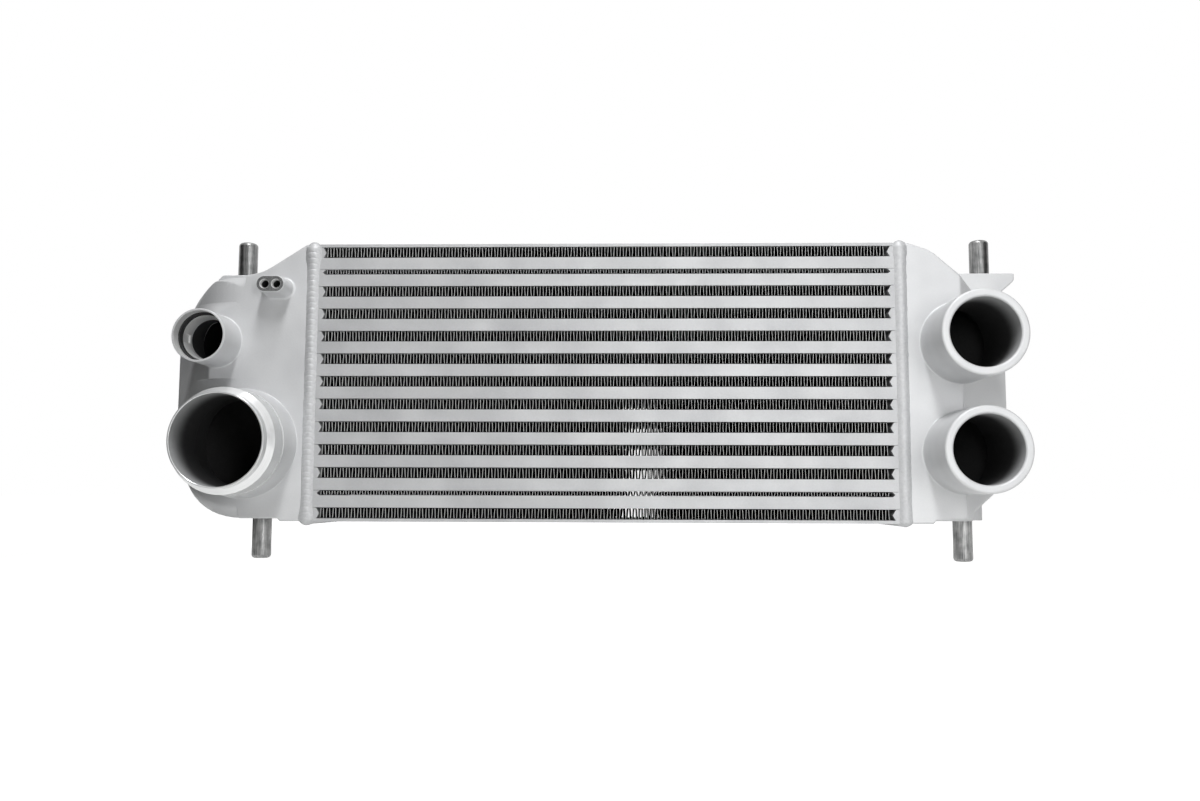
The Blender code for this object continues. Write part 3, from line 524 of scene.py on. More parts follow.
chance = random.Random(13)
base = SIDE_PLATE
drift = math.tan(ROW_TURN) * CORE_DEPTH
length = CORE_LENGTH - 2 * (END_BAR_WIDTH + END_BAR_POINT + SEAT_GAP) - drift - 2 * FIN_WAVE
for row in range(FIN_ROWS, 0, -1):
    height = row_heights[row - 1]
    turn = ROW_TURN + chance.uniform(-ROW_TURN_SPREAD, ROW_TURN_SPREAD)
    line = fin_line(height - 2 * SEAT_GAP - FOIL, TALL_LEG if height == TALL_FIN else SHORT_LEG,
                    length, lambda: chance.uniform(-LEG_STRAY, LEG_STRAY))
    line = [(x - drift / 2, z) for x, z in line]
    mesh = fin_mesh(f"folded_foil_{row:02d}", line, base + SEAT_GAP + FOIL / 2, turn)
    place_piece(mesh, f"ambient_fins_{row:02d}")
    base += height + PASSAGE
print("faces in one tall row:", len(mesh.polygons))

# %% [markdown]
# ## Tools for the cast tanks
# A tank is like a ship's hull: three lines give its shape, the top edge, the bottom edge and
# the half depth, each drawn from the core outward. A rounded rectangle is stood at many
# stations along those lines and the rectangles are joined. The helpers below round the
# corners of a line, move a line inward by the wall, and read a line at one station.

# %% Round the corners of a line
def rounded(points, radii, steps):
    """A line through the points, with its inner corners rounded to the radii."""
    line, used = [points[0]], 0
    for i, radius in enumerate(radii):
        corner = np.array(points[i + 1])
        into, away = corner - np.array(points[i]), np.array(points[i + 2]) - corner
        into_length, away_length = np.linalg.norm(into), np.linalg.norm(away)
        into, away = into / into_length, away / away_length
        turn = math.acos(float(np.clip(into @ away, -1, 1)))
        share = 0.98 if i == len(radii) - 1 else 0.49
        used = min(radius * math.tan(turn / 2), 0.98 * (into_length - used), share * away_length)
        if used < 1e-6:
            line.append(tuple(corner))
            continue
        start, end = corner - into * used, corner + away * used
        for t in np.linspace(0, 1, steps + 1):
            weight = ((1 - t) ** 2, 2 * t * (1 - t) * math.cos(turn / 2), t ** 2)
            mixed = weight[0] * start + weight[1] * corner + weight[2] * end
            line.append(tuple(mixed / sum(weight)))
    line.append(points[-1])
    return line


# %% Move a line inward, and read it at one station
def moved_in(points, distance):
    """The same line moved sideways, to its right as it is walked."""
    sides = []
    for first, second in zip(points, points[1:]):
        along = np.array(second) - np.array(first)
        along = along / np.linalg.norm(along)
        sides.append((np.array(first) + np.array((along[1], -along[0])) * distance, along))
    line = [tuple(sides[0][0])]
    for (start, along), (other, across) in zip(sides, sides[1:]):
        gap = other - start
        slant = along[0] * across[1] - along[1] * across[0]
        line.append(tuple(start + along * (gap[0] * across[1] - gap[1] * across[0]) / slant))
    end = np.array(points[-1]) + np.array((sides[-1][1][1], -sides[-1][1][0])) * distance
    return line + [tuple(end)]


def value_at(line, distance):
    """Height or half depth of a line at a distance from the core's end."""
    rising = [line[0]]
    for point in line[1:]:
        if point[0] > rising[-1][0] + 1e-7:
            rising.append(point)
    return float(np.interp(distance, [p[0] for p in rising], [p[1] for p in rising]))


# %% Rings, and a skin through them
def tank_ring(x, half_depth, bottom, top, edge, steps):
    """Rounded rectangle across a tank."""
    edge = min(edge, 0.9 * half_depth, 0.45 * (top - bottom))
    ring = []
    for side, up, start in ((1, 1, 0), (-1, 1, 90), (-1, -1, 180), (1, -1, 270)):
        centre_y = side * (half_depth - edge)
        centre_z = top - edge if up > 0 else bottom + edge
        for angle in np.radians(np.linspace(start, start + 90, steps + 1)):
            ring.append((x, centre_y + edge * math.cos(angle), centre_z + edge * math.sin(angle)))
    return ring


def skin_rings(name, rings, closed_round=False):
    """A mesh through rings of equally many points, closed to a loop or by its two ends."""
    shape = bmesh.new()
    rows = [[shape.verts.new(point) for point in ring] for ring in rings]
    if closed_round:
        rows.append(rows[0])
    for near, far in zip(rows, rows[1:]):
        for i in range(len(near)):
            j = (i + 1) % len(near)
            shape.faces.new((near[i], near[j], far[j], far[i]))
    if not closed_round:
        shape.faces.new(rows[0])
        shape.faces.new(rows[-1])
    bmesh.ops.recalc_face_normals(shape, faces=shape.faces)
    return to_mesh(name, shape)


# %% Hull between three lines
def hull(name, side, lines, edge, start, spacing, steps):
    """Tank body, or the hollow in it, between its top, bottom and half-depth lines."""
    top, bottom, depth = lines
    last = min(line[-1][0] for line in lines)
    stations = {start, last}
    for line in (*lines, edge):
        stations.update(point[0] for point in line if start < point[0] < last)
    kept = [start]
    for station in sorted(stations)[1:]:
        if station - kept[-1] > spacing:
            kept.append(station)
    kept[-1] = last
    return skin_rings(name, [
        tank_ring(side * (CORE_LENGTH / 2 + d), value_at(depth, d), value_at(bottom, d),
                  value_at(top, d), value_at(edge, d), steps) for d in kept])


# %% [markdown]
# Brackets, bosses and drilled seats are joined to a hull and cut from it with Boolean
# modifiers, in the order in which a foundry would think of them: add the outside shapes,
# take the hollow out, add the bosses that stand in it, then drill. Each tool leaves its own
# finish on the faces it makes, so the hollow comes out in the near-black inside finish, painted
# shade.

# %% Join, hollow and drill
def worked(name, body, steps):
    """Apply (mesh, operation) steps to a body and return the finished mesh."""
    if not body.materials:
        body.materials.append(coated_casting)
    source = stand(name, body)
    tools = []
    for mesh, operation in steps:
        if not mesh.materials:
            mesh.materials.append(body.materials[0])
        tools.append(stand(mesh.name, mesh))
        step = source.modifiers.new(mesh.name, "BOOLEAN")
        step.operation, step.solver, step.object = operation, "EXACT", tools[-1]
        step.material_mode = "TRANSFER"
    made = applied(source, name)
    for tool in tools:
        discard(tool)
    return made


# %% Turned shapes and rods
ROUND_SIDES = 128


def around(sides):
    """(cosine, sine) at equal turns round a circle."""
    turns = np.radians(np.linspace(0, 360, sides, endpoint=False))
    return [(math.cos(turn), math.sin(turn)) for turn in turns]


def turned_rings(profile, sides, up=False):
    """Rings of a profile of (radius, forward) points; forward is -Y, or +Z if it stands up."""
    return [[(radius * c, radius * s, forward) if up else (radius * c, -forward, radius * s)
             for c, s in around(sides)] for radius, forward in profile]


def turned_loop(name, profile):
    """A turned piece whose profile closes on itself, lying along Y."""
    return skin_rings(name, turned_rings(profile, ROUND_SIDES), closed_round=True)


def rod(name, radius, start, end, place, up=False, sides=96):
    """Cylinder between two distances along its axis, used to join or to drill."""
    mesh = skin_rings(name, turned_rings([(radius, start), (radius, end)], sides, up))
    mesh.transform(Matrix.Translation(place))
    return mesh


# %% [markdown]
# ## Outlines of the two tanks
# The left tank drops from the core in a soft slope and ends in a round nose. The right one
# falls along a straight slope to a short upright wall and has a chamfered foot. These are the
# same numbers as in the engineering model, but rounded in more steps.

# %% Left tank lines
TANK_WALL = 0.004
FLANGE_LENGTH = 0.022
FLANGE_STEP = 0.0022
FLANGE_EDGE = 0.0015
NOSE_HALF_DEPTH = 0.005
LEFT_REACH = 0.127
LEFT_TOP = CORE_HEIGHT - 0.0263
LEFT_CORNER = LEFT_REACH - 0.0421
LEFT_SQUARE_EDGE = 0.0555
LEFT_NOSE_EDGE = 0.011
LINE_STEPS = 16
HOLLOW_STEPS = 3

foot_points = [(SEAT_GAP, 0), (FLANGE_LENGTH, 0), (FLANGE_LENGTH + FLANGE_STEP, FLANGE_STEP)]
left_points = ([(SEAT_GAP, CORE_HEIGHT), (0.006, CORE_HEIGHT), (0.0455, LEFT_TOP + 0.001),
                (LEFT_REACH, LEFT_TOP), (LEFT_REACH, LEFT_TOP / 2)],
               foot_points + [(LEFT_REACH, FLANGE_STEP), (LEFT_REACH, LEFT_TOP / 2)],
               [(SEAT_GAP, CORE_DEPTH / 2), (LEFT_CORNER, CORE_DEPTH / 2),
                (LEFT_REACH, NOSE_HALF_DEPTH), (LEFT_REACH, 0)])
left_radii = ((0.002, 0.045, 0.062), (0, 0, 0.070), (0.075, 0))
left_edge = [(0, FLANGE_EDGE), (LEFT_SQUARE_EDGE, FLANGE_EDGE),
             (LEFT_SQUARE_EDGE + 0.0015, LEFT_NOSE_EDGE), (LEFT_REACH, LEFT_NOSE_EDGE)]


def outer_lines(points, radii):
    return [rounded(line, corner, LINE_STEPS) for line, corner in zip(points, radii)]


def hollow_lines(points, radii):
    """The lines moved in by the wall, with their corners tighter by as much."""
    made = []
    for line, corner, inward in zip(points, radii, (1, -1, 1)):
        tighter = [max(radius - TANK_WALL, 0) for radius in corner]
        made.append(rounded(moved_in(line, inward * TANK_WALL), tighter, HOLLOW_STEPS))
    return made


# %% Right tank lines
RIGHT_REACH = 0.097
RIGHT_BEND = RIGHT_REACH - 0.0485
RIGHT_WALL_TOP = CORE_HEIGHT - 0.0659
FOOT_RISE = 0.0063
RIGHT_WALL_FOOT = FLANGE_STEP + FOOT_RISE + 0.0257

right_points = ([(SEAT_GAP, CORE_HEIGHT), (0.007, CORE_HEIGHT), (0.025, CORE_HEIGHT - FOOT_RISE),
                 (RIGHT_REACH, RIGHT_WALL_TOP), (RIGHT_REACH, RIGHT_WALL_FOOT)],
                foot_points + [(0.0555, FLANGE_STEP), (0.057, FLANGE_STEP + FOOT_RISE),
                               (RIGHT_REACH, RIGHT_WALL_FOOT), (RIGHT_REACH, RIGHT_WALL_TOP)],
                [(SEAT_GAP, CORE_DEPTH / 2), (RIGHT_BEND, CORE_DEPTH / 2),
                 (RIGHT_REACH, NOSE_HALF_DEPTH), (RIGHT_REACH, 0)])
right_radii = ((0.010, 0.030, 0.002), (0, 0, 0, 0, 0.002), (0.004, 0))
right_edge = [(0, FLANGE_EDGE), (FLANGE_LENGTH, FLANGE_EDGE), (RIGHT_BEND, 0.004),
              (RIGHT_REACH, 0.008)]
print("left tank reaches", LEFT_REACH, "m and right tank", RIGHT_REACH, "m beyond the core")

# %% [markdown]
# ## Brackets and bosses
# Each upper pin stands on a narrow cast shelf at mid-depth, and each pin is pressed in a
# round boss. The shelf is a flat outline, drawn out through its width, with its edges
# broken by a small bevel as a casting's always are.

# %% Cast shelves
PIN_RADIUS = 0.008
PIN_SEAT_DEPTH = 0.014
SHELF_TOP = CORE_HEIGHT - 0.0195
SHELF_DEPTH = 0.033
SHELF_EDGE = 0.0012
SHELF_BACK = 0.0225
SHELF_CORNER = 0.004
BOSS_RADIUS = 0.016
BOSS_HEIGHT = 0.020


def shelf(name, side, outline):
    """Prism with an outline of (distance from the core, z), with bevelled edges."""
    rings = [[(side * (CORE_LENGTH / 2 + d), y, z) for d, z in outline]
             for y in (-SHELF_DEPTH / 2, SHELF_DEPTH / 2)]
    source = stand(name, skin_rings(name, rings))
    broken = source.modifiers.new("broken edges", "BEVEL")
    broken.width, broken.segments = SHELF_EDGE, 3
    return applied(source, name)


# %% Seats of the pins, holes for the necks, and the two bodies
SEAT_SIDES = 64
BORE_MARGIN = 0.001
HOLE_BACK, HOLE_FRONT = -0.03, 0.01
STATION = 0.0002
HOLLOW_STATION = 0.0012


def boss_and_seat(name, side, from_core, seat, up):
    """The boss inside the wall, and the drilled seat in it, as Boolean steps."""
    place = (side * (CORE_LENGTH / 2 + from_core), 0, seat)
    way = -1 if up else 1
    boss = rod(f"{name}_boss", BOSS_RADIUS, 0, way * BOSS_HEIGHT, place, up=True, sides=SEAT_SIDES)
    drill = rod(f"{name}_seat", PIN_RADIUS + SEAT_GAP, -way * PIN_RADIUS, way * PIN_SEAT_DEPTH,
                place, up=True, sides=SEAT_SIDES)
    return [(boss, "UNION"), (drill, "DIFFERENCE")]


def neck_hole(name, bore, place):
    return rod(name, bore + BORE_MARGIN, HOLE_BACK, HOLE_FRONT, place), "DIFFERENCE"


def body_and_hollow(name, side, points, radii, edge, steps):
    """A tank's outside, and the Boolean step that hollows it."""
    body = hull(f"{name}_tank_casting", side, outer_lines(points, radii), edge, SEAT_GAP,
                STATION, steps)
    inner_edge = [(distance, max(radius - TANK_WALL, FLANGE_EDGE)) for distance, radius in edge]
    hollow = hull(f"{name}_hollow", side, hollow_lines(points, radii), inner_edge, -SEAT_GAP,
                  HOLLOW_STATION, HOLLOW_STEPS)
    # The hollow carries the near-black inside finish: painted shade.
    return body, (finished(hollow, dark_inside_painted_shade), "DIFFERENCE")


def neck_place(side, from_core, height):
    return Vector((side * (CORE_LENGTH / 2 + from_core), FRONT, height))


# %% [markdown]
# ## The left tank body
# Behind the small port the foundry keeps the corner of the tank nearly sharp, so that the
# port stands on a flat face; everywhere else the nose is round. The sharp corner is a stack of
# plan outlines whose corner radius grows with height, from 3 mm behind the port to the
# nose's own 75 mm above it, so that the flat face melts into the nose. The holes for the
# necks are cut a millimetre wider than the bores, because the necks bring their own walls.

# %% Flat pad behind the port
OUTLET_BORE = 0.0362
PORT_BORE = 0.0169
PORT_RISE = 0.1479
PAD_DROP = 0.031
PAD_CORNER = 0.003
PAD_BLEND_START = 0.020
PAD_BLEND_END = 0.036
PAD_SINK = 0.0001

outlet_place = neck_place(LEFT, 0.0545, 0.0634)
port_place = neck_place(LEFT, 0.0798, PORT_RISE)
pad_points = [moved_in(line, way * PAD_SINK) for line, way in zip(left_points, (1, -1, 1))]
pad_lines = outer_lines(pad_points, (left_radii[0], left_radii[1], (PAD_CORNER, 0)))
pad = hull("square_corner", LEFT, pad_lines, left_edge, SEAT_GAP, STATION, 8)
levels = [-PAD_DROP, *np.linspace(PAD_BLEND_START, PAD_BLEND_END, 12), LEFT_TOP - PORT_RISE]
plan_rings = []
for level in levels:
    t = min(max((level - PAD_BLEND_START) / (PAD_BLEND_END - PAD_BLEND_START), 0), 1)
    corner = PAD_CORNER + (left_radii[2][0] - PAD_CORNER) * t * t * (3 - 2 * t)
    plan = rounded(pad_points[2], (corner, 0), LINE_STEPS)
    ring = [(LEFT_SQUARE_EDGE / 3, CORE_DEPTH / 2)] + plan[1:] + [(LEFT_SQUARE_EDGE / 3, 0)]
    plan_rings.append([(-CORE_LENGTH / 2 - d, -y, PORT_RISE + level) for d, y in ring])
pad = worked("square_corner", pad, [(skin_rings("plan_stack", plan_rings), "INTERSECT")])
print("pad faces:", len(pad.polygons))

# %% Left tank body
UPPER_LEFT_PIN = 0.0722
LOWER_LEFT_PIN = 0.0518
LEFT_SHELF_FRONT = 0.0193
LEFT_SHELF_SINK = 0.0155

shelf_back, shelf_end = UPPER_LEFT_PIN - SHELF_BACK, UPPER_LEFT_PIN + LEFT_SHELF_FRONT
shelf_foot = LEFT_TOP - LEFT_SHELF_SINK
left_shelf = shelf("left_shelf", LEFT, [
    (shelf_back, SHELF_TOP), (shelf_end - SHELF_CORNER, SHELF_TOP),
    (shelf_end, SHELF_TOP - SHELF_CORNER), (shelf_end, shelf_foot), (shelf_back, shelf_foot)])
body, hollow = body_and_hollow("left", LEFT, left_points, left_radii, left_edge, 8)
left_casting = worked("left_tank_casting", body, [
    (pad, "UNION"), (left_shelf, "UNION"), hollow,
    *boss_and_seat("upper_left", LEFT, UPPER_LEFT_PIN, SHELF_TOP, True),
    *boss_and_seat("lower_left", LEFT, LOWER_LEFT_PIN, FLANGE_STEP, False),
    neck_hole("outlet_hole", OUTLET_BORE, outlet_place),
    neck_hole("port_hole", PORT_BORE, port_place)])
place_piece(left_casting, "left_tank", sharp=30)
print("left tank faces:", len(left_casting.polygons))

# %% [markdown]
# ## The right tank body
# The same steps build the right tank. Its shelf is undercut, so that it stands out from the
# slope like a nose.

# %% Right tank body
INLET_BORE = 0.027
UPPER_RIGHT_PIN = RIGHT_REACH - 0.0175
LOWER_RIGHT_PIN = 0.0588
RIGHT_SHELF_FRONT = 0.0234
LIP_THICKNESS = 0.006
UNDERCUT = 0.025
UNDERCUT_REACH = 0.029

inlet_places = {"upper": neck_place(RIGHT, 0.0485, CORE_HEIGHT - 0.0827),
                "lower": neck_place(RIGHT, 0.0485, 0.0574)}
shelf_back, shelf_end = UPPER_RIGHT_PIN - SHELF_BACK, UPPER_RIGHT_PIN + RIGHT_SHELF_FRONT
lip_foot = SHELF_TOP - LIP_THICKNESS
shelf_foot = lip_foot - UNDERCUT
right_shelf = shelf("right_shelf", RIGHT, [
    (shelf_back, SHELF_TOP), (shelf_end, SHELF_TOP), (shelf_end, lip_foot),
    (shelf_end - SHELF_CORNER, lip_foot - SHELF_CORNER), (shelf_end - UNDERCUT_REACH, shelf_foot),
    (shelf_back, shelf_foot)])
body, hollow = body_and_hollow("right", RIGHT, right_points, right_radii, right_edge, 6)
right_casting = worked("right_tank_casting", body, [
    (right_shelf, "UNION"), hollow,
    *boss_and_seat("lower_right", RIGHT, LOWER_RIGHT_PIN, FLANGE_STEP, False),
    boss_and_seat("upper_right", RIGHT, UPPER_RIGHT_PIN, SHELF_TOP, True)[1],
    *(neck_hole(f"{which}_inlet_hole", INLET_BORE, place)
      for which, place in inlet_places.items())])
place_piece(right_casting, "right_tank", sharp=30)
print("right tank faces:", len(right_casting.polygons))

# %% [markdown]
# ## Necks that grow out of the casting
# A cast neck never meets its tank in a sharp corner: the sand would break there, so the
# pattern maker fills the corner with a radius. A neck is skinned here as one sheet, from the
# foot of that radius up the outside, over the rim and down the bore. The first rows
# follow the tank's face wherever it turns away, which a simple lathe shape couldn't do.

# %% What a neck stands on: face, outline and fillet
def face_of(depth_line, side):
    """How far the tank's front face lies behind the core's front, at a given X."""
    def behind(x):
        return CORE_DEPTH / 2 - value_at(depth_line, side * x - CORE_LENGTH / 2)
    return behind


def round_outline(radius):
    """(point, outward direction) pairs round a circle."""
    return [((radius * c, radius * s), (c, s)) for c, s in around(ROUND_SIDES)]


def root_rows(size, steps=6):
    """Quarter-round fillet from the face to the wall, as (outward, forward) rows."""
    turns = [math.radians(90) * i / steps for i in range(steps + 1)]
    return [(size * (1 - math.sin(a)), size * (1 - math.cos(a))) for a in turns]


# %% Skin of a neck
BORE_END = 0.005
BORE_RETURN = 0.003
ROOT_SINK = 0.0008


def neck_mesh(name, outline, root, wall, centre, behind, bore=None, painted_shade_rows=0):
    """Skin round an outline on a tank's face, through rows of (outward, forward).

    The root follows the face and the wall doesn't. Given a bore, (outward, fillet, sink), the
    skin runs on behind the face and back to its first row. The last rows, as many as given,
    get the near-black inside finish, painted shade."""
    rows = [(*row, True) for row in root] + [(*row, False) for row in wall]
    if bore:
        rows += [(bore[0], -BORE_END, True), (bore[0] + BORE_RETURN, -BORE_END, True),
                 (bore[1], -bore[2], True)]
    rings = []
    for outward, forward, on_face in rows:
        ring = []
        for (px, pz), (nx, nz) in outline:
            x, z = px + nx * outward, pz + nz * outward
            ring.append((x, (behind(centre.x + x) if on_face else 0) - forward, z))
        rings.append(ring)
    mesh = finished(skin_rings(name, rings, closed_round=bool(bore)), coated_casting)
    # The last rows take the near-black inside finish: painted shade.
    if painted_shade_rows:
        mesh.materials.append(dark_inside_painted_shade)
        for face in mesh.polygons[(len(rows) - painted_shade_rows) * len(outline):]:
            face.material_index = 1
    return mesh


# %% [markdown]
# The outlet has a wide cast collar, with a bare turned adaptor pressed in it. The collar is
# drafted, which means that it narrows a little towards its rim so that it can be drawn
# from the mould.

# %% Cast outlet collar
RING_RADIUS = OUTLET_BORE + 0.006
TAIL_RADIUS = OUTLET_BORE + 0.0038
COLLAR_LENGTH = 0.0238
COLLAR_LIP = 0.0006
COLLAR_DRAFT = 0.0022
TAIL_LENGTH = 0.0161
COLLAR_RIM = 0.0007
ROOT_FILLET = 0.0006
COLLAR_SINK = 0.0035

left_behind = face_of(outer_lines(left_points, left_radii)[2], LEFT)
collar_radius = RING_RADIUS + COLLAR_LIP + COLLAR_DRAFT
seat, bore = TAIL_RADIUS + SEAT_GAP - collar_radius, OUTLET_BORE - collar_radius
seat_floor = COLLAR_LENGTH - TAIL_LENGTH - SEAT_GAP
wall = [(-COLLAR_DRAFT, COLLAR_LENGTH - COLLAR_RIM),
        (-COLLAR_DRAFT - COLLAR_RIM * 0.3, COLLAR_LENGTH - COLLAR_RIM * 0.3),
        (-COLLAR_DRAFT - COLLAR_RIM, COLLAR_LENGTH), (seat, COLLAR_LENGTH),
        (seat, seat_floor), (bore, seat_floor)]
collar = neck_mesh("outlet_collar_casting", round_outline(collar_radius), root_rows(ROOT_FILLET),
                   wall, outlet_place, left_behind, (bore, ROOT_FILLET, COLLAR_SINK), 6)
place_piece(collar, "left_tank", outlet_place, 35)
print("collar radius:", round(collar_radius, 4))

# %% [markdown]
# The adaptor is one turned ring: a tail in the collar, a wide band, a step with a slope,
# and a thin spigot on which the hose is clamped. A lathe shape is a profile swung round
# its axis, so its profile is all there is to draw. Small bevels at its corners catch the
# light. Lacquer dust has drifted into its bore, which gets the same inside finish as the
# casting's: lacquer colour at the mouth and painted shade deeper in.

# %% Turned outlet adaptor
EDGE_BREAK = 0.0004
GROOVE = 0.0009
RING_WIDTH = 0.0192
RING_SLOPE = 0.0046
SPIGOT_LENGTH = 0.0078
SPIGOT_WALL = 0.0015

ring_back = COLLAR_LENGTH + SEAT_GAP
ring_front = ring_back + RING_WIDTH
spigot_back = ring_front + RING_SLOPE
spigot_front = spigot_back + SPIGOT_LENGTH
spigot_radius = OUTLET_BORE + SPIGOT_WALL
bore_start = (OUTLET_BORE, COLLAR_LENGTH - TAIL_LENGTH)
profile = [(spigot_radius - EDGE_BREAK, spigot_front), (spigot_radius, spigot_front - EDGE_BREAK),
           (spigot_radius, spigot_back), (RING_RADIUS - EDGE_BREAK, ring_front),
           (RING_RADIUS, ring_front - EDGE_BREAK), (RING_RADIUS, ring_back + GROOVE),
           (RING_RADIUS - GROOVE, ring_back + GROOVE / 2), (RING_RADIUS - GROOVE, ring_back),
           (TAIL_RADIUS, ring_back), (TAIL_RADIUS, COLLAR_LENGTH - TAIL_LENGTH), bore_start,
           (OUTLET_BORE, spigot_front - EDGE_BREAK), (OUTLET_BORE + EDGE_BREAK, spigot_front)]
adaptor = turned_loop("turned_outlet_adaptor", profile)
finished(adaptor, turned_aluminium, dark_inside_painted_shade)
# The bore takes the near-black inside finish, with painted shade deeper in.
bore_faces = profile.index(bore_start) * ROUND_SIDES
for face in adaptor.polygons[bore_faces:bore_faces + ROUND_SIDES]:
    face.material_index = 1
place_piece(adaptor, "outlet_adaptor", outlet_place, 25)
print("outlet stands", round(spigot_front * 1000, 1), "mm in front of the core")

# %% [markdown]
# ## The bypass port
# The small port is a cast stub whose mouth was bored out wider in two steps: a bright bored
# wall, then a narrower dark recess, and in that a pressed-in bush. The bored wall is bare
# metal and shines, which is why it is a piece of its own: the stub carries the lacquer
# and a thin sleeve inside it the bored finish. Behind the sleeve, the recess and the bore
# get the near-black inside finish: painted shade.

# %% Cast port stub and its bored mouth
PORT_LENGTH = 0.035
PORT_RADIUS = 0.0215
PORT_LIP = 0.0014
PORT_FILLET = 0.0012
BORED_DEPTH = 0.009
RECESS_STEP = 0.0014
BUSH_DEPTH = 0.0143
BUSH_LENGTH = 0.014
SLEEVE = 0.0002
SLEEVE_SINK = 0.0001

mouth = PORT_RADIUS - PORT_LIP
recess = mouth - RECESS_STEP
bored_end = PORT_LENGTH - BORED_DEPTH
bush_front = PORT_LENGTH - BUSH_DEPTH
bush_back = bush_front - BUSH_LENGTH
bore = PORT_BORE - PORT_RADIUS
wall = [(0, PORT_LENGTH - EDGE_BREAK), (-EDGE_BREAK, PORT_LENGTH), (-PORT_LIP, PORT_LENGTH),
        (-PORT_LIP, bored_end), (recess - PORT_RADIUS, bored_end),
        (recess - PORT_RADIUS, bush_back), (bore, bush_back)]
stub = neck_mesh("bypass_port_casting", round_outline(PORT_RADIUS), root_rows(PORT_FILLET), wall,
                 port_place, face_of(pad_lines[2], LEFT), (bore, PORT_FILLET, ROOT_SINK), 8)
place_piece(stub, "left_tank", port_place, 35)

sleeve_front, sleeve_back = PORT_LENGTH - SLEEVE_SINK, bored_end + SEAT_GAP
profile = [(mouth - SLEEVE, sleeve_front), (mouth + SLEEVE, sleeve_front),
           (mouth + SLEEVE, sleeve_back), (mouth - SLEEVE, sleeve_back)]
sleeve = finished(turned_loop("bored_port_mouth", profile), bored_aluminium)
place_piece(sleeve, "left_tank", port_place, 25)
print("port mouth radius:", round(mouth, 4))

# %% [markdown]
# The bush has a long slope at its mouth that leads a pipe in, and one milled notch, which a
# key in the pipe would engage. The notch is cut with a Boolean because it is the one shape
# here that a lathe can't turn.

# %% Turned bush with its notch
LEAD_IN = 0.0065
NOTCH_HALF_WIDTH = 0.0035
NOTCH_LENGTH = 0.0105
NOTCH_FLOOR = 0.0182

bush_radius = recess - SLEEVE_SINK
profile = [(bush_radius, bush_front - EDGE_BREAK), (bush_radius, bush_back + SEAT_GAP),
           (PORT_BORE, bush_back + SEAT_GAP), (PORT_BORE, bush_front - LEAD_IN),
           (bush_radius - 2 * EDGE_BREAK, bush_front), (bush_radius - EDGE_BREAK, bush_front)]
bush_body = finished(turned_loop("turned_port_bush", profile), bored_aluminium)
notch_outline = [(-NOTCH_FLOOR, -NOTCH_HALF_WIDTH), (-PORT_BORE / 2, -NOTCH_HALF_WIDTH),
                 (-PORT_BORE / 2, NOTCH_HALF_WIDTH), (-NOTCH_FLOOR, NOTCH_HALF_WIDTH)]
notch = skin_rings("notch", [[(x, y, z) for x, z in notch_outline]
                             for y in (-bush_front - 0.001, -bush_front + NOTCH_LENGTH)])
bush = worked("turned_port_bush", bush_body, [(notch, "DIFFERENCE")])
place_piece(bush, "bypass_port_bush", port_place, 25)
print("bush faces:", len(bush.polygons))

# %% [markdown]
# ## The sensor boss
# High on the left tank sits an oblong boss with two threaded holes. Its outline is two
# half circles joined by short straights; the same neck skin stands it on the face with a
# fillet, closed at the top, and the holes are drilled with countersunk mouths. The
# drill walls are bright at the mouth and, deeper in, take the near-black inside finish as
# painted shade; its flat end gets the milled finish.

# %% Cast body of the sensor boss
SENSOR_LENGTH = 0.020
SENSOR_HALF_HEIGHT = 0.0068
SENSOR_DRAFT = 0.001
SENSOR_FILLET = 0.002
SENSOR_RIM = 0.0006
SENSOR_SPACING = 0.0095
HALF_ROUND_POINTS = 33

sensor_place = neck_place(LEFT, 0.0289, CORE_HEIGHT - 0.0372)
reach = SENSOR_HALF_HEIGHT + SENSOR_DRAFT
oblong = []
for centre_x, start in ((SENSOR_SPACING / 2, -90), (-SENSOR_SPACING / 2, 90)):
    for angle in np.radians(np.linspace(start, start + 180, HALF_ROUND_POINTS)):
        c, s = math.cos(angle), math.sin(angle)
        oblong.append(((centre_x + reach * c, reach * s), (c, s)))
root = [(SENSOR_FILLET, -0.001)] + root_rows(SENSOR_FILLET)
wall = [(-SENSOR_DRAFT, SENSOR_LENGTH - SENSOR_RIM),
        (-SENSOR_DRAFT - SENSOR_RIM / 3, SENSOR_LENGTH - SENSOR_RIM / 3),
        (-SENSOR_DRAFT - SENSOR_RIM, SENSOR_LENGTH)]
boss_body = neck_mesh("sensor_boss_casting", oblong, root, wall, sensor_place, left_behind)
print("points in the outline:", len(oblong))

# %% Drill and mill the sensor boss
HOLE_SIDES = 48
HOLE_FLOOR = 0.006
THREAD_HOLE = 0.0033
THREAD_MOUTH = 0.0043
COUNTERSINK = 0.0011
BRIGHT_DEPTH = 0.004

hole_profile = [(THREAD_HOLE, HOLE_FLOOR), (THREAD_HOLE, SENSOR_LENGTH - BRIGHT_DEPTH),
                (THREAD_HOLE, SENSOR_LENGTH - COUNTERSINK), (THREAD_MOUTH, SENSOR_LENGTH + 0.0005)]
drills = []
for shift in (-SENSOR_SPACING / 2, SENSOR_SPACING / 2):
    drill = skin_rings("thread_hole", turned_rings(hole_profile, HOLE_SIDES))
    drill.transform(Matrix.Translation((shift, 0, 0)))
    drills.append((finished(drill, bored_aluminium), "DIFFERENCE"))
boss = finished(worked("sensor_boss_casting", boss_body, drills), milled_face, dark_inside_painted_shade)
for face in boss.polygons:
    drilled = boss.materials[face.material_index] == bored_aluminium
    if face.center.y < -SENSOR_LENGTH + 0.00001 and face.normal.y < -0.99:
        face.material_index = len(boss.materials) - 2
    # Drilled walls deeper than the bright mouth take the near-black inside finish: painted shade.
    elif drilled and face.center.y > -SENSOR_LENGTH + BRIGHT_DEPTH:
        face.material_index = len(boss.materials) - 1
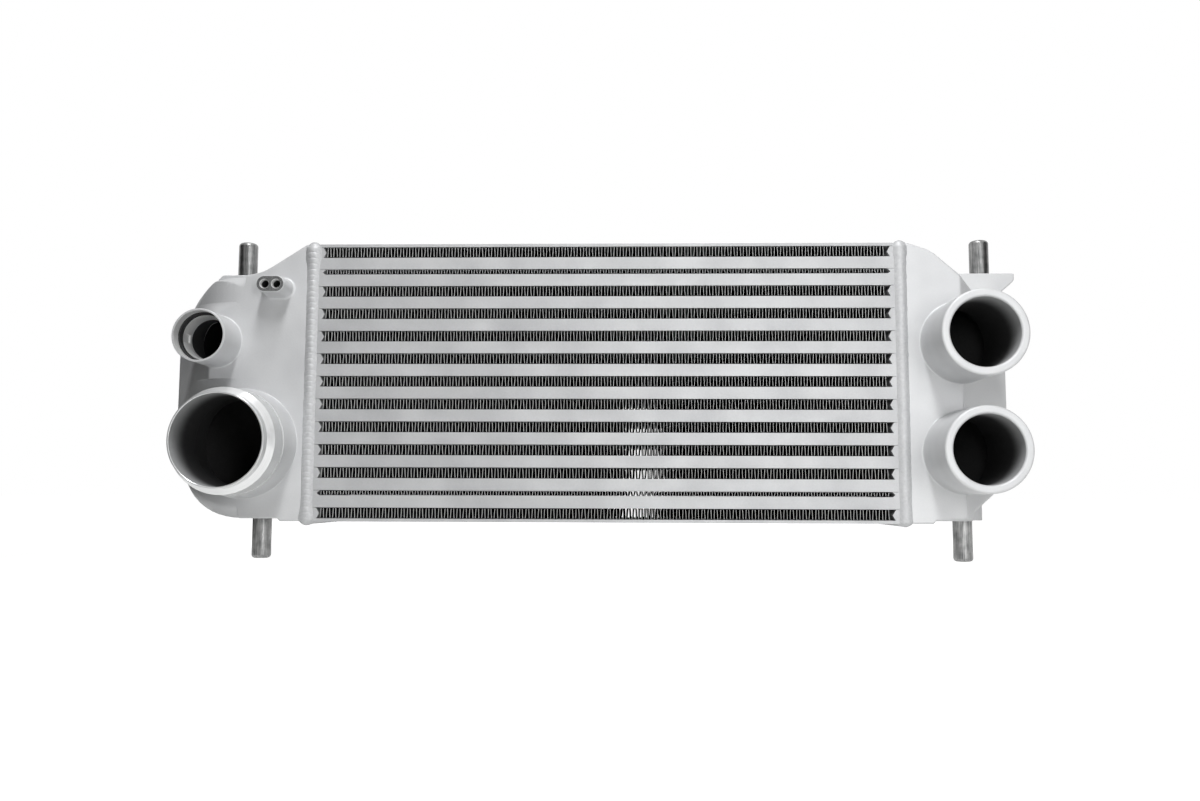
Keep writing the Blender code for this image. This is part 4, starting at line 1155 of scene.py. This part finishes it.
place_piece(boss, "left_tank", sensor_place, 35)
print("sensor boss faces:", len(boss.polygons))

# %% [markdown]
# ## The inlet necks
# The right tank has two equal necks with thick walls and a rounded rim. Their right halves
# stand over the slanting face, where the skin's foot rows follow it backwards.

# %% Two cast inlet necks
INLET_LENGTH = 0.056
INLET_WALL = 0.0065
INLET_FILLET = 0.0014
RIM_ROUNDING = 0.002

right_behind = face_of(outer_lines(right_points, right_radii)[2], RIGHT)
inlet_radius = INLET_BORE + INLET_WALL
rim = []
for middle, start in ((-RIM_ROUNDING, 0), (RIM_ROUNDING - INLET_WALL, 90)):
    for angle in np.radians(np.linspace(start, start + 90, 6)):
        rim.append((middle + RIM_ROUNDING * math.cos(angle),
                    INLET_LENGTH - RIM_ROUNDING * (1 - math.sin(angle))))
for which, place in inlet_places.items():
    inlet = neck_mesh(f"{which}_inlet_casting", round_outline(inlet_radius),
                      root_rows(INLET_FILLET), rim, place, right_behind,
                      (-INLET_WALL, INLET_FILLET, ROOT_SINK), 4)
    place_piece(inlet, "right_tank", place, 35)
print("inlet rim radius:", round(inlet_radius, 4))

# %% [markdown]
# Where the two halves of the mould met, a little metal ran out. It was ground off, but a thin
# raised line with small lumps is left in the crease of the right tank, between and below
# the necks. It is a chain of tiny rings strung along the crease, each of its own size.

# %% Parting line in the crease
FLASH_SIZE = 0.0005
FLASH_STEP = 0.0009
FLASH_SIDES = 8

chance = random.Random(21)
crease_x = CORE_LENGTH / 2 + RIGHT_BEND
crease_y = right_behind(crease_x) + FRONT
for name, low, high in (("parting_line_middle", 0.0905, 0.1138),
                        ("parting_line_low", 0.008, 0.0242)):
    rings = []
    for z in np.arange(low, high, FLASH_STEP):
        size = FLASH_SIZE * chance.uniform(0.5, 1.25)
        rings.append([(crease_x + size * c, crease_y + size * s, z)
                      for c, s in around(FLASH_SIDES)])
    line = finished(skin_rings(name, rings), coated_casting)
    place_piece(line, "right_tank", sharp=80)
print("rings in the parting line:", len(rings))

# %% [markdown]
# ## Weld beads
# A weld bead is a row of small pools of metal, each frozen over the last, so it shows
# stacked crescents. The bead is skinned round the core as a closed loop: going round gives
# the position along the seam, going across gives the crown. A narrow crease at the edge of
# each pool, bent into an arc across the bead, makes the crescents, about 4.7 mm each. The
# left bead was welded slowly with clear ripples, the right one faster and smoother.

# %% Path round the core
SEAM_CORNER = 0.0025
SEAM_STEP = 0.0005


def seam_path():
    """(y, z, outward y, outward z) all round the core, starting at the top of the front."""
    half, top = CORE_DEPTH / 2, CORE_HEIGHT
    corners = [np.array(corner) for corner in ((-half, top), (-half, 0), (half, 0), (half, top))]
    path = []
    for i, corner in enumerate(corners):
        after, beyond = corners[(i + 1) % 4], corners[(i + 2) % 4]
        length = np.linalg.norm(after - corner)
        along, then = (after - corner) / length, (beyond - after) / np.linalg.norm(beyond - after)
        out, out_next = np.array((along[1], -along[0])), np.array((then[1], -then[0]))
        for t in np.arange(SEAM_CORNER, length - SEAM_CORNER, SEAM_STEP):
            path.append((*(corner + along * t), *out))
        centre = after - along * SEAM_CORNER + then * SEAM_CORNER
        for angle in np.linspace(0, math.pi / 2, 9)[1:-1]:
            mixed = out * math.cos(angle) + out_next * math.sin(angle)
            path.append((*(centre + mixed * SEAM_CORNER), *mixed))
    return path


# %% Skin of a rippled bead
BEAD_WIDTH = 0.011
BEAD_HEIGHT = 0.003
BEAD_SINK = 0.0003
BEAD_ROOT = 0.001
WIDEST_SWELL = 1.3
CROWN_STEPS = 14
CROWN_POWER = 1.1
CREASE = 0.13
POOL_SLOPE = 0.35


def bead_mesh(name, side, ripple, pitch, bow, uneven, lumps, seed):
    """Loop of crown profiles. lumps are (position along the seam, spread, gain in size)."""
    chance = random.Random(seed)
    strays = [chance.uniform(-1, 1) for _ in range(400)]
    path, middle = seam_path(), side * CORE_LENGTH / 2
    travelled, rings, previous = 0.0, [], path[0]
    for y, z, out_y, out_z in path:
        travelled += math.hypot(y - previous[0], z - previous[1])
        previous = (y, z)
        swell = 1 + sum(gain * math.exp(-((travelled - at) / spread) ** 2)
                        for at, spread, gain in lumps)
        tallest = BEAD_HEIGHT if out_y > 0.5 else BEAD_HEIGHT * 1.5
        ring = []
        for k in range(CROWN_STEPS + 1):
            across = -1 + 2 * k / CROWN_STEPS
            phase = travelled / pitch + bow * across * across
            number = math.floor(phase)
            tooth = phase - number
            stray = strays[number % len(strays)]
            crease = math.exp(-(min(tooth, 1 - tooth) / CREASE) ** 2) + POOL_SLOPE * tooth
            crown = (1 - across * across) ** CROWN_POWER
            height = BEAD_HEIGHT * crown * (1 - ripple * crease - uneven * (0.5 + 0.5 * stray))
            height = min(height * swell, tallest) - BEAD_SINK
            width = BEAD_WIDTH / 2 * min(swell, WIDEST_SWELL) * (0.97 + 0.04 * stray)
            ring.append((middle + across * width, y + out_y * height, z + out_z * height))
        for way in (1, -1):
            ring.append((middle + way * BEAD_WIDTH * 0.3, y - out_y * BEAD_ROOT,
                         z - out_z * BEAD_ROOT))
        rings.append(ring)
    return finished(skin_rings(name, rings, closed_round=True), coated_weld)


# %% Lay the two beads
front_end = CORE_HEIGHT - SEAM_CORNER
beads = {"left": (LEFT, 0.11, 0.00467, -0.45, 0.09,
                  [(0.005, 0.008, 0.42), (front_end, 0.009, 0.32)], 5),
         "right": (RIGHT, 0.04, 0.0038, -0.3, 0.05,
                   [(0.003, 0.006, 0.15), (front_end, 0.006, 0.12)], 8)}
for which, numbers in beads.items():
    bead = bead_mesh(f"{which}_weld_ripples", *numbers)
    place_piece(bead, f"{which}_weld_bead", sharp=60)
print("bead faces:", len(bead.polygons))

# %% [markdown]
# ## Mounting pins
# The four pins are plain turned bars, 16 mm thick, with a rounded chamfer so that they find
# their rubber bushes. They differ only in place and direction.

# %% Pins
PIN_CHAMFER = 0.003
PIN_SIDES = 72
CHAMFER_START = 12
PIN_ABOVE_SEAT = 0.0315
PIN_BELOW_SEAT = 0.0346

pins = {"upper_left_pin": (LEFT, UPPER_LEFT_PIN, SHELF_TOP, 1),
        "upper_right_pin": (RIGHT, UPPER_RIGHT_PIN, SHELF_TOP, 1),
        "lower_left_pin": (LEFT, LOWER_LEFT_PIN, FLANGE_STEP, -1),
        "lower_right_pin": (RIGHT, LOWER_RIGHT_PIN, FLANGE_STEP, -1)}
for node_name, (side, from_core, seat, way) in pins.items():
    shown = PIN_ABOVE_SEAT if way > 0 else PIN_BELOW_SEAT
    profile = [(PIN_RADIUS, -PIN_SEAT_DEPTH + SEAT_GAP), (PIN_RADIUS, shown - PIN_CHAMFER)]
    for angle in np.radians(np.linspace(CHAMFER_START, 90, 7)):
        profile.append((PIN_RADIUS - PIN_CHAMFER * (1 - math.cos(angle)),
                        shown - PIN_CHAMFER * (1 - math.sin(angle))))
    profile = [(radius, way * height) for radius, height in profile]
    pin = skin_rings(f"plated_{node_name}", turned_rings(profile, PIN_SIDES, up=True))
    place_piece(finished(pin, plated_steel), node_name,
                (side * (CORE_LENGTH / 2 + from_core), 0, seat), 30)
print("pins made:", len(pins))

# %% [markdown]
# ## The camera
# The camera stands a little under a metre in front, low, and looks slightly upward. Its
# place and lens were found by matching the rows, the necks and the pins to the picture.

# %% Camera
CAMERA_PLACE = Vector((0.01947, -0.86414, 0.02302))
LOOKING = Vector((-0.02764, 0.99535, 0.09231)).normalized()
UP = Vector((-0.001, -0.09237, 0.99572))

lens = bpy.data.cameras.new("studio_camera")
lens.sensor_width = 36
lens.lens = 30.258
lens.clip_start = 0.01
camera = stand("studio_camera", lens)
back = -LOOKING
right = UP.cross(back).normalized()
camera.matrix_world = Matrix.Translation(CAMERA_PLACE) @ Matrix(
    (right, back.cross(right), back)).transposed().to_4x4()
bpy.context.scene.camera = camera
print("focal length:", lens.lens, "mm")

# %% [markdown]
# ## Floor and surroundings
# The cooler stands on a white floor that runs out of sight. The floor is a real surface, so
# it keeps the cooler's shadow, and it is lifted towards white only for rays that come
# straight from the camera, off a shiny surface or through glass, and fully so a little way
# off. The world behind it does the same: white where it is seen or reflected, and much
# dimmer as a source of light, so the lamps decide how the object is lit.

# %% A flat sheet, and the share of rays that is seen
def flat_sheet(name, width, height, finish):
    """A rectangle in its own X and Y."""
    mesh = bpy.data.meshes.new(name)
    mesh.from_pydata([(sx * width / 2, sy * height / 2, 0)
                      for sx, sy in ((-1, -1), (1, -1), (1, 1), (-1, 1))], [], [(0, 1, 2, 3)])
    return stand(name, finished(mesh, finish))


def seen_share(tree):
    """1 for rays from the camera, off something shiny or through glass, and 0 for the rest."""
    rays = add_node(tree, "ShaderNodeLightPath")
    share = rays.outputs["Is Camera Ray"]
    for kind in ("Is Glossy Ray", "Is Transmission Ray"):
        share = add_node(tree, "ShaderNodeMath", links={0: share, 1: rays.outputs[kind]},
                         operation="MAXIMUM").outputs[0]
    return share


# %% White floor
FLOOR_WIDTH = 24.0
FLOOR_DROP = 0.0002
LIFT_NEAR = 0.94
NEAR_ZONE = (1.4, 3.0, 0.0)

floor_paint, tree = new_finish("matt_white_studio_floor")
place = add_node(tree, "ShaderNodeTexCoord")
from_cooler = add_node(tree, "ShaderNodeVectorMath", {1: NEAR_ZONE}, {0: place.outputs["Object"]},
                       operation="MULTIPLY")
distance = add_node(tree, "ShaderNodeVectorMath", links={0: from_cooler.outputs[0]},
                    operation="LENGTH")
near = add_node(tree, "ShaderNodeMapRange",
                {"From Min": 0.45, "From Max": 1.0, "To Min": LIFT_NEAR, "To Max": 1.0},
                {"Value": distance.outputs["Value"]}, interpolation_type="SMOOTHSTEP")
lift = add_node(tree, "ShaderNodeMath", links={0: seen_share(tree), 1: near.outputs["Result"]},
                operation="MULTIPLY")
glow = add_node(tree, "ShaderNodeEmission", {"Color": linear("#FFFFFF")},
                {"Strength": lift.outputs[0]})
paint = add_node(tree, "ShaderNodeBsdfDiffuse", {"Color": linear("#E4E4E2")})
both = add_node(tree, "ShaderNodeAddShader", links={0: glow.outputs[0], 1: paint.outputs[0]})
add_node(tree, "ShaderNodeOutputMaterial", links={"Surface": both.outputs[0]})

floor = flat_sheet("studio_floor", FLOOR_WIDTH, FLOOR_WIDTH, floor_paint)
floor.location.z = cad_box[0].z - FLOOR_DROP
print("floor at", round(floor.location.z, 4))

# %% White surroundings
AMBIENT = 0.07

world = bpy.data.worlds.new("studio_surroundings")
world.use_nodes = True
tree = world.node_tree
tree.nodes.clear()
strength = add_node(tree, "ShaderNodeMapRange", {"To Min": AMBIENT, "To Max": 1.0},
                    {"Value": seen_share(tree)})
sky = add_node(tree, "ShaderNodeBackground", {"Color": linear("#FFFFFF")},
               {"Strength": strength.outputs[0]})
add_node(tree, "ShaderNodeOutputWorld", links={"Surface": sky.outputs[0]})
bpy.context.scene.world = world
print("the world lights the cooler with", AMBIENT, "of its white")

# %% [markdown]
# ## Lamps
# The picture shows where the lamps stood. Shadows fall straight down under the boss and the
# shelves, so the main lamp hangs overhead, a little in front; the right side is brighter
# than the left, so a small low one is turned to the right and a large one fills from the
# front right. Dark cards stand close by the ends and behind the camera, out of its sight:
# the faces that mirror them go dark, which gives the pale object its outline against white
# and keeps the turned metal from glaring.

# %% Area lamps
def aim(thing, place, target, axis):
    thing.location = place
    thing.rotation_euler = (Vector(target) - Vector(place)).to_track_quat(axis, "Y").to_euler()


lamps = {"overhead_lamp": ((0.0, -0.72, 1.3), (0, 0, CORE_HEIGHT / 2), (0.16, 0.9), 15.6),
         "low_front_lamp": ((0.12, -0.8, 0.2), (0.55, 0, 0.1), (0.2, 0.2), 1.0),
         "front_right_lamp": ((0.5, -1.15, 0.15), (0.3, 0, 0.11), (0.5, 0.6), 4.0)}
for name, (place, target, size, power) in lamps.items():
    light = bpy.data.lights.new(name, "AREA")
    light.shape = "RECTANGLE"
    light.size, light.size_y = size
    light.energy = power
    aim(stand(name, light), place, target, "-Z")
print("lamps:", len(lamps))

# %% Dark cards out of sight
card_paint, tree = new_finish("matt_black_card")
cloth = add_node(tree, "ShaderNodeBsdfDiffuse", {"Color": linear("#202021")})
add_node(tree, "ShaderNodeOutputMaterial", links={"Surface": cloth.outputs[0]})

cards = {"left_flag": ((-0.5, -0.28, 0.085), (0, -0.28, 0.085), 1.14, 0.23),
         "left_pin_card": ((-0.5, -0.135, 0.28), (0, -0.135, 0.28), 0.31, 0.16),
         "right_pin_card": ((0.5, -0.125, 0.28), (0, -0.125, 0.28), 0.29, 0.16),
         "card_behind_camera": ((0, -2.3, 0.4), (0, 0, 0.4), 2.4, 1.8)}
for name, (place, target, width, height) in cards.items():
    card = flat_sheet(name, width, height, card_paint)
    aim(card, place, target, "Z")
    card.visible_camera = False
print("cards:", len(cards))

# %% [markdown]
# ## Finish
# The colours are shown as they are, with no film look laid over them.

# %% View settings
bpy.context.scene.view_settings.view_transform = "Standard"
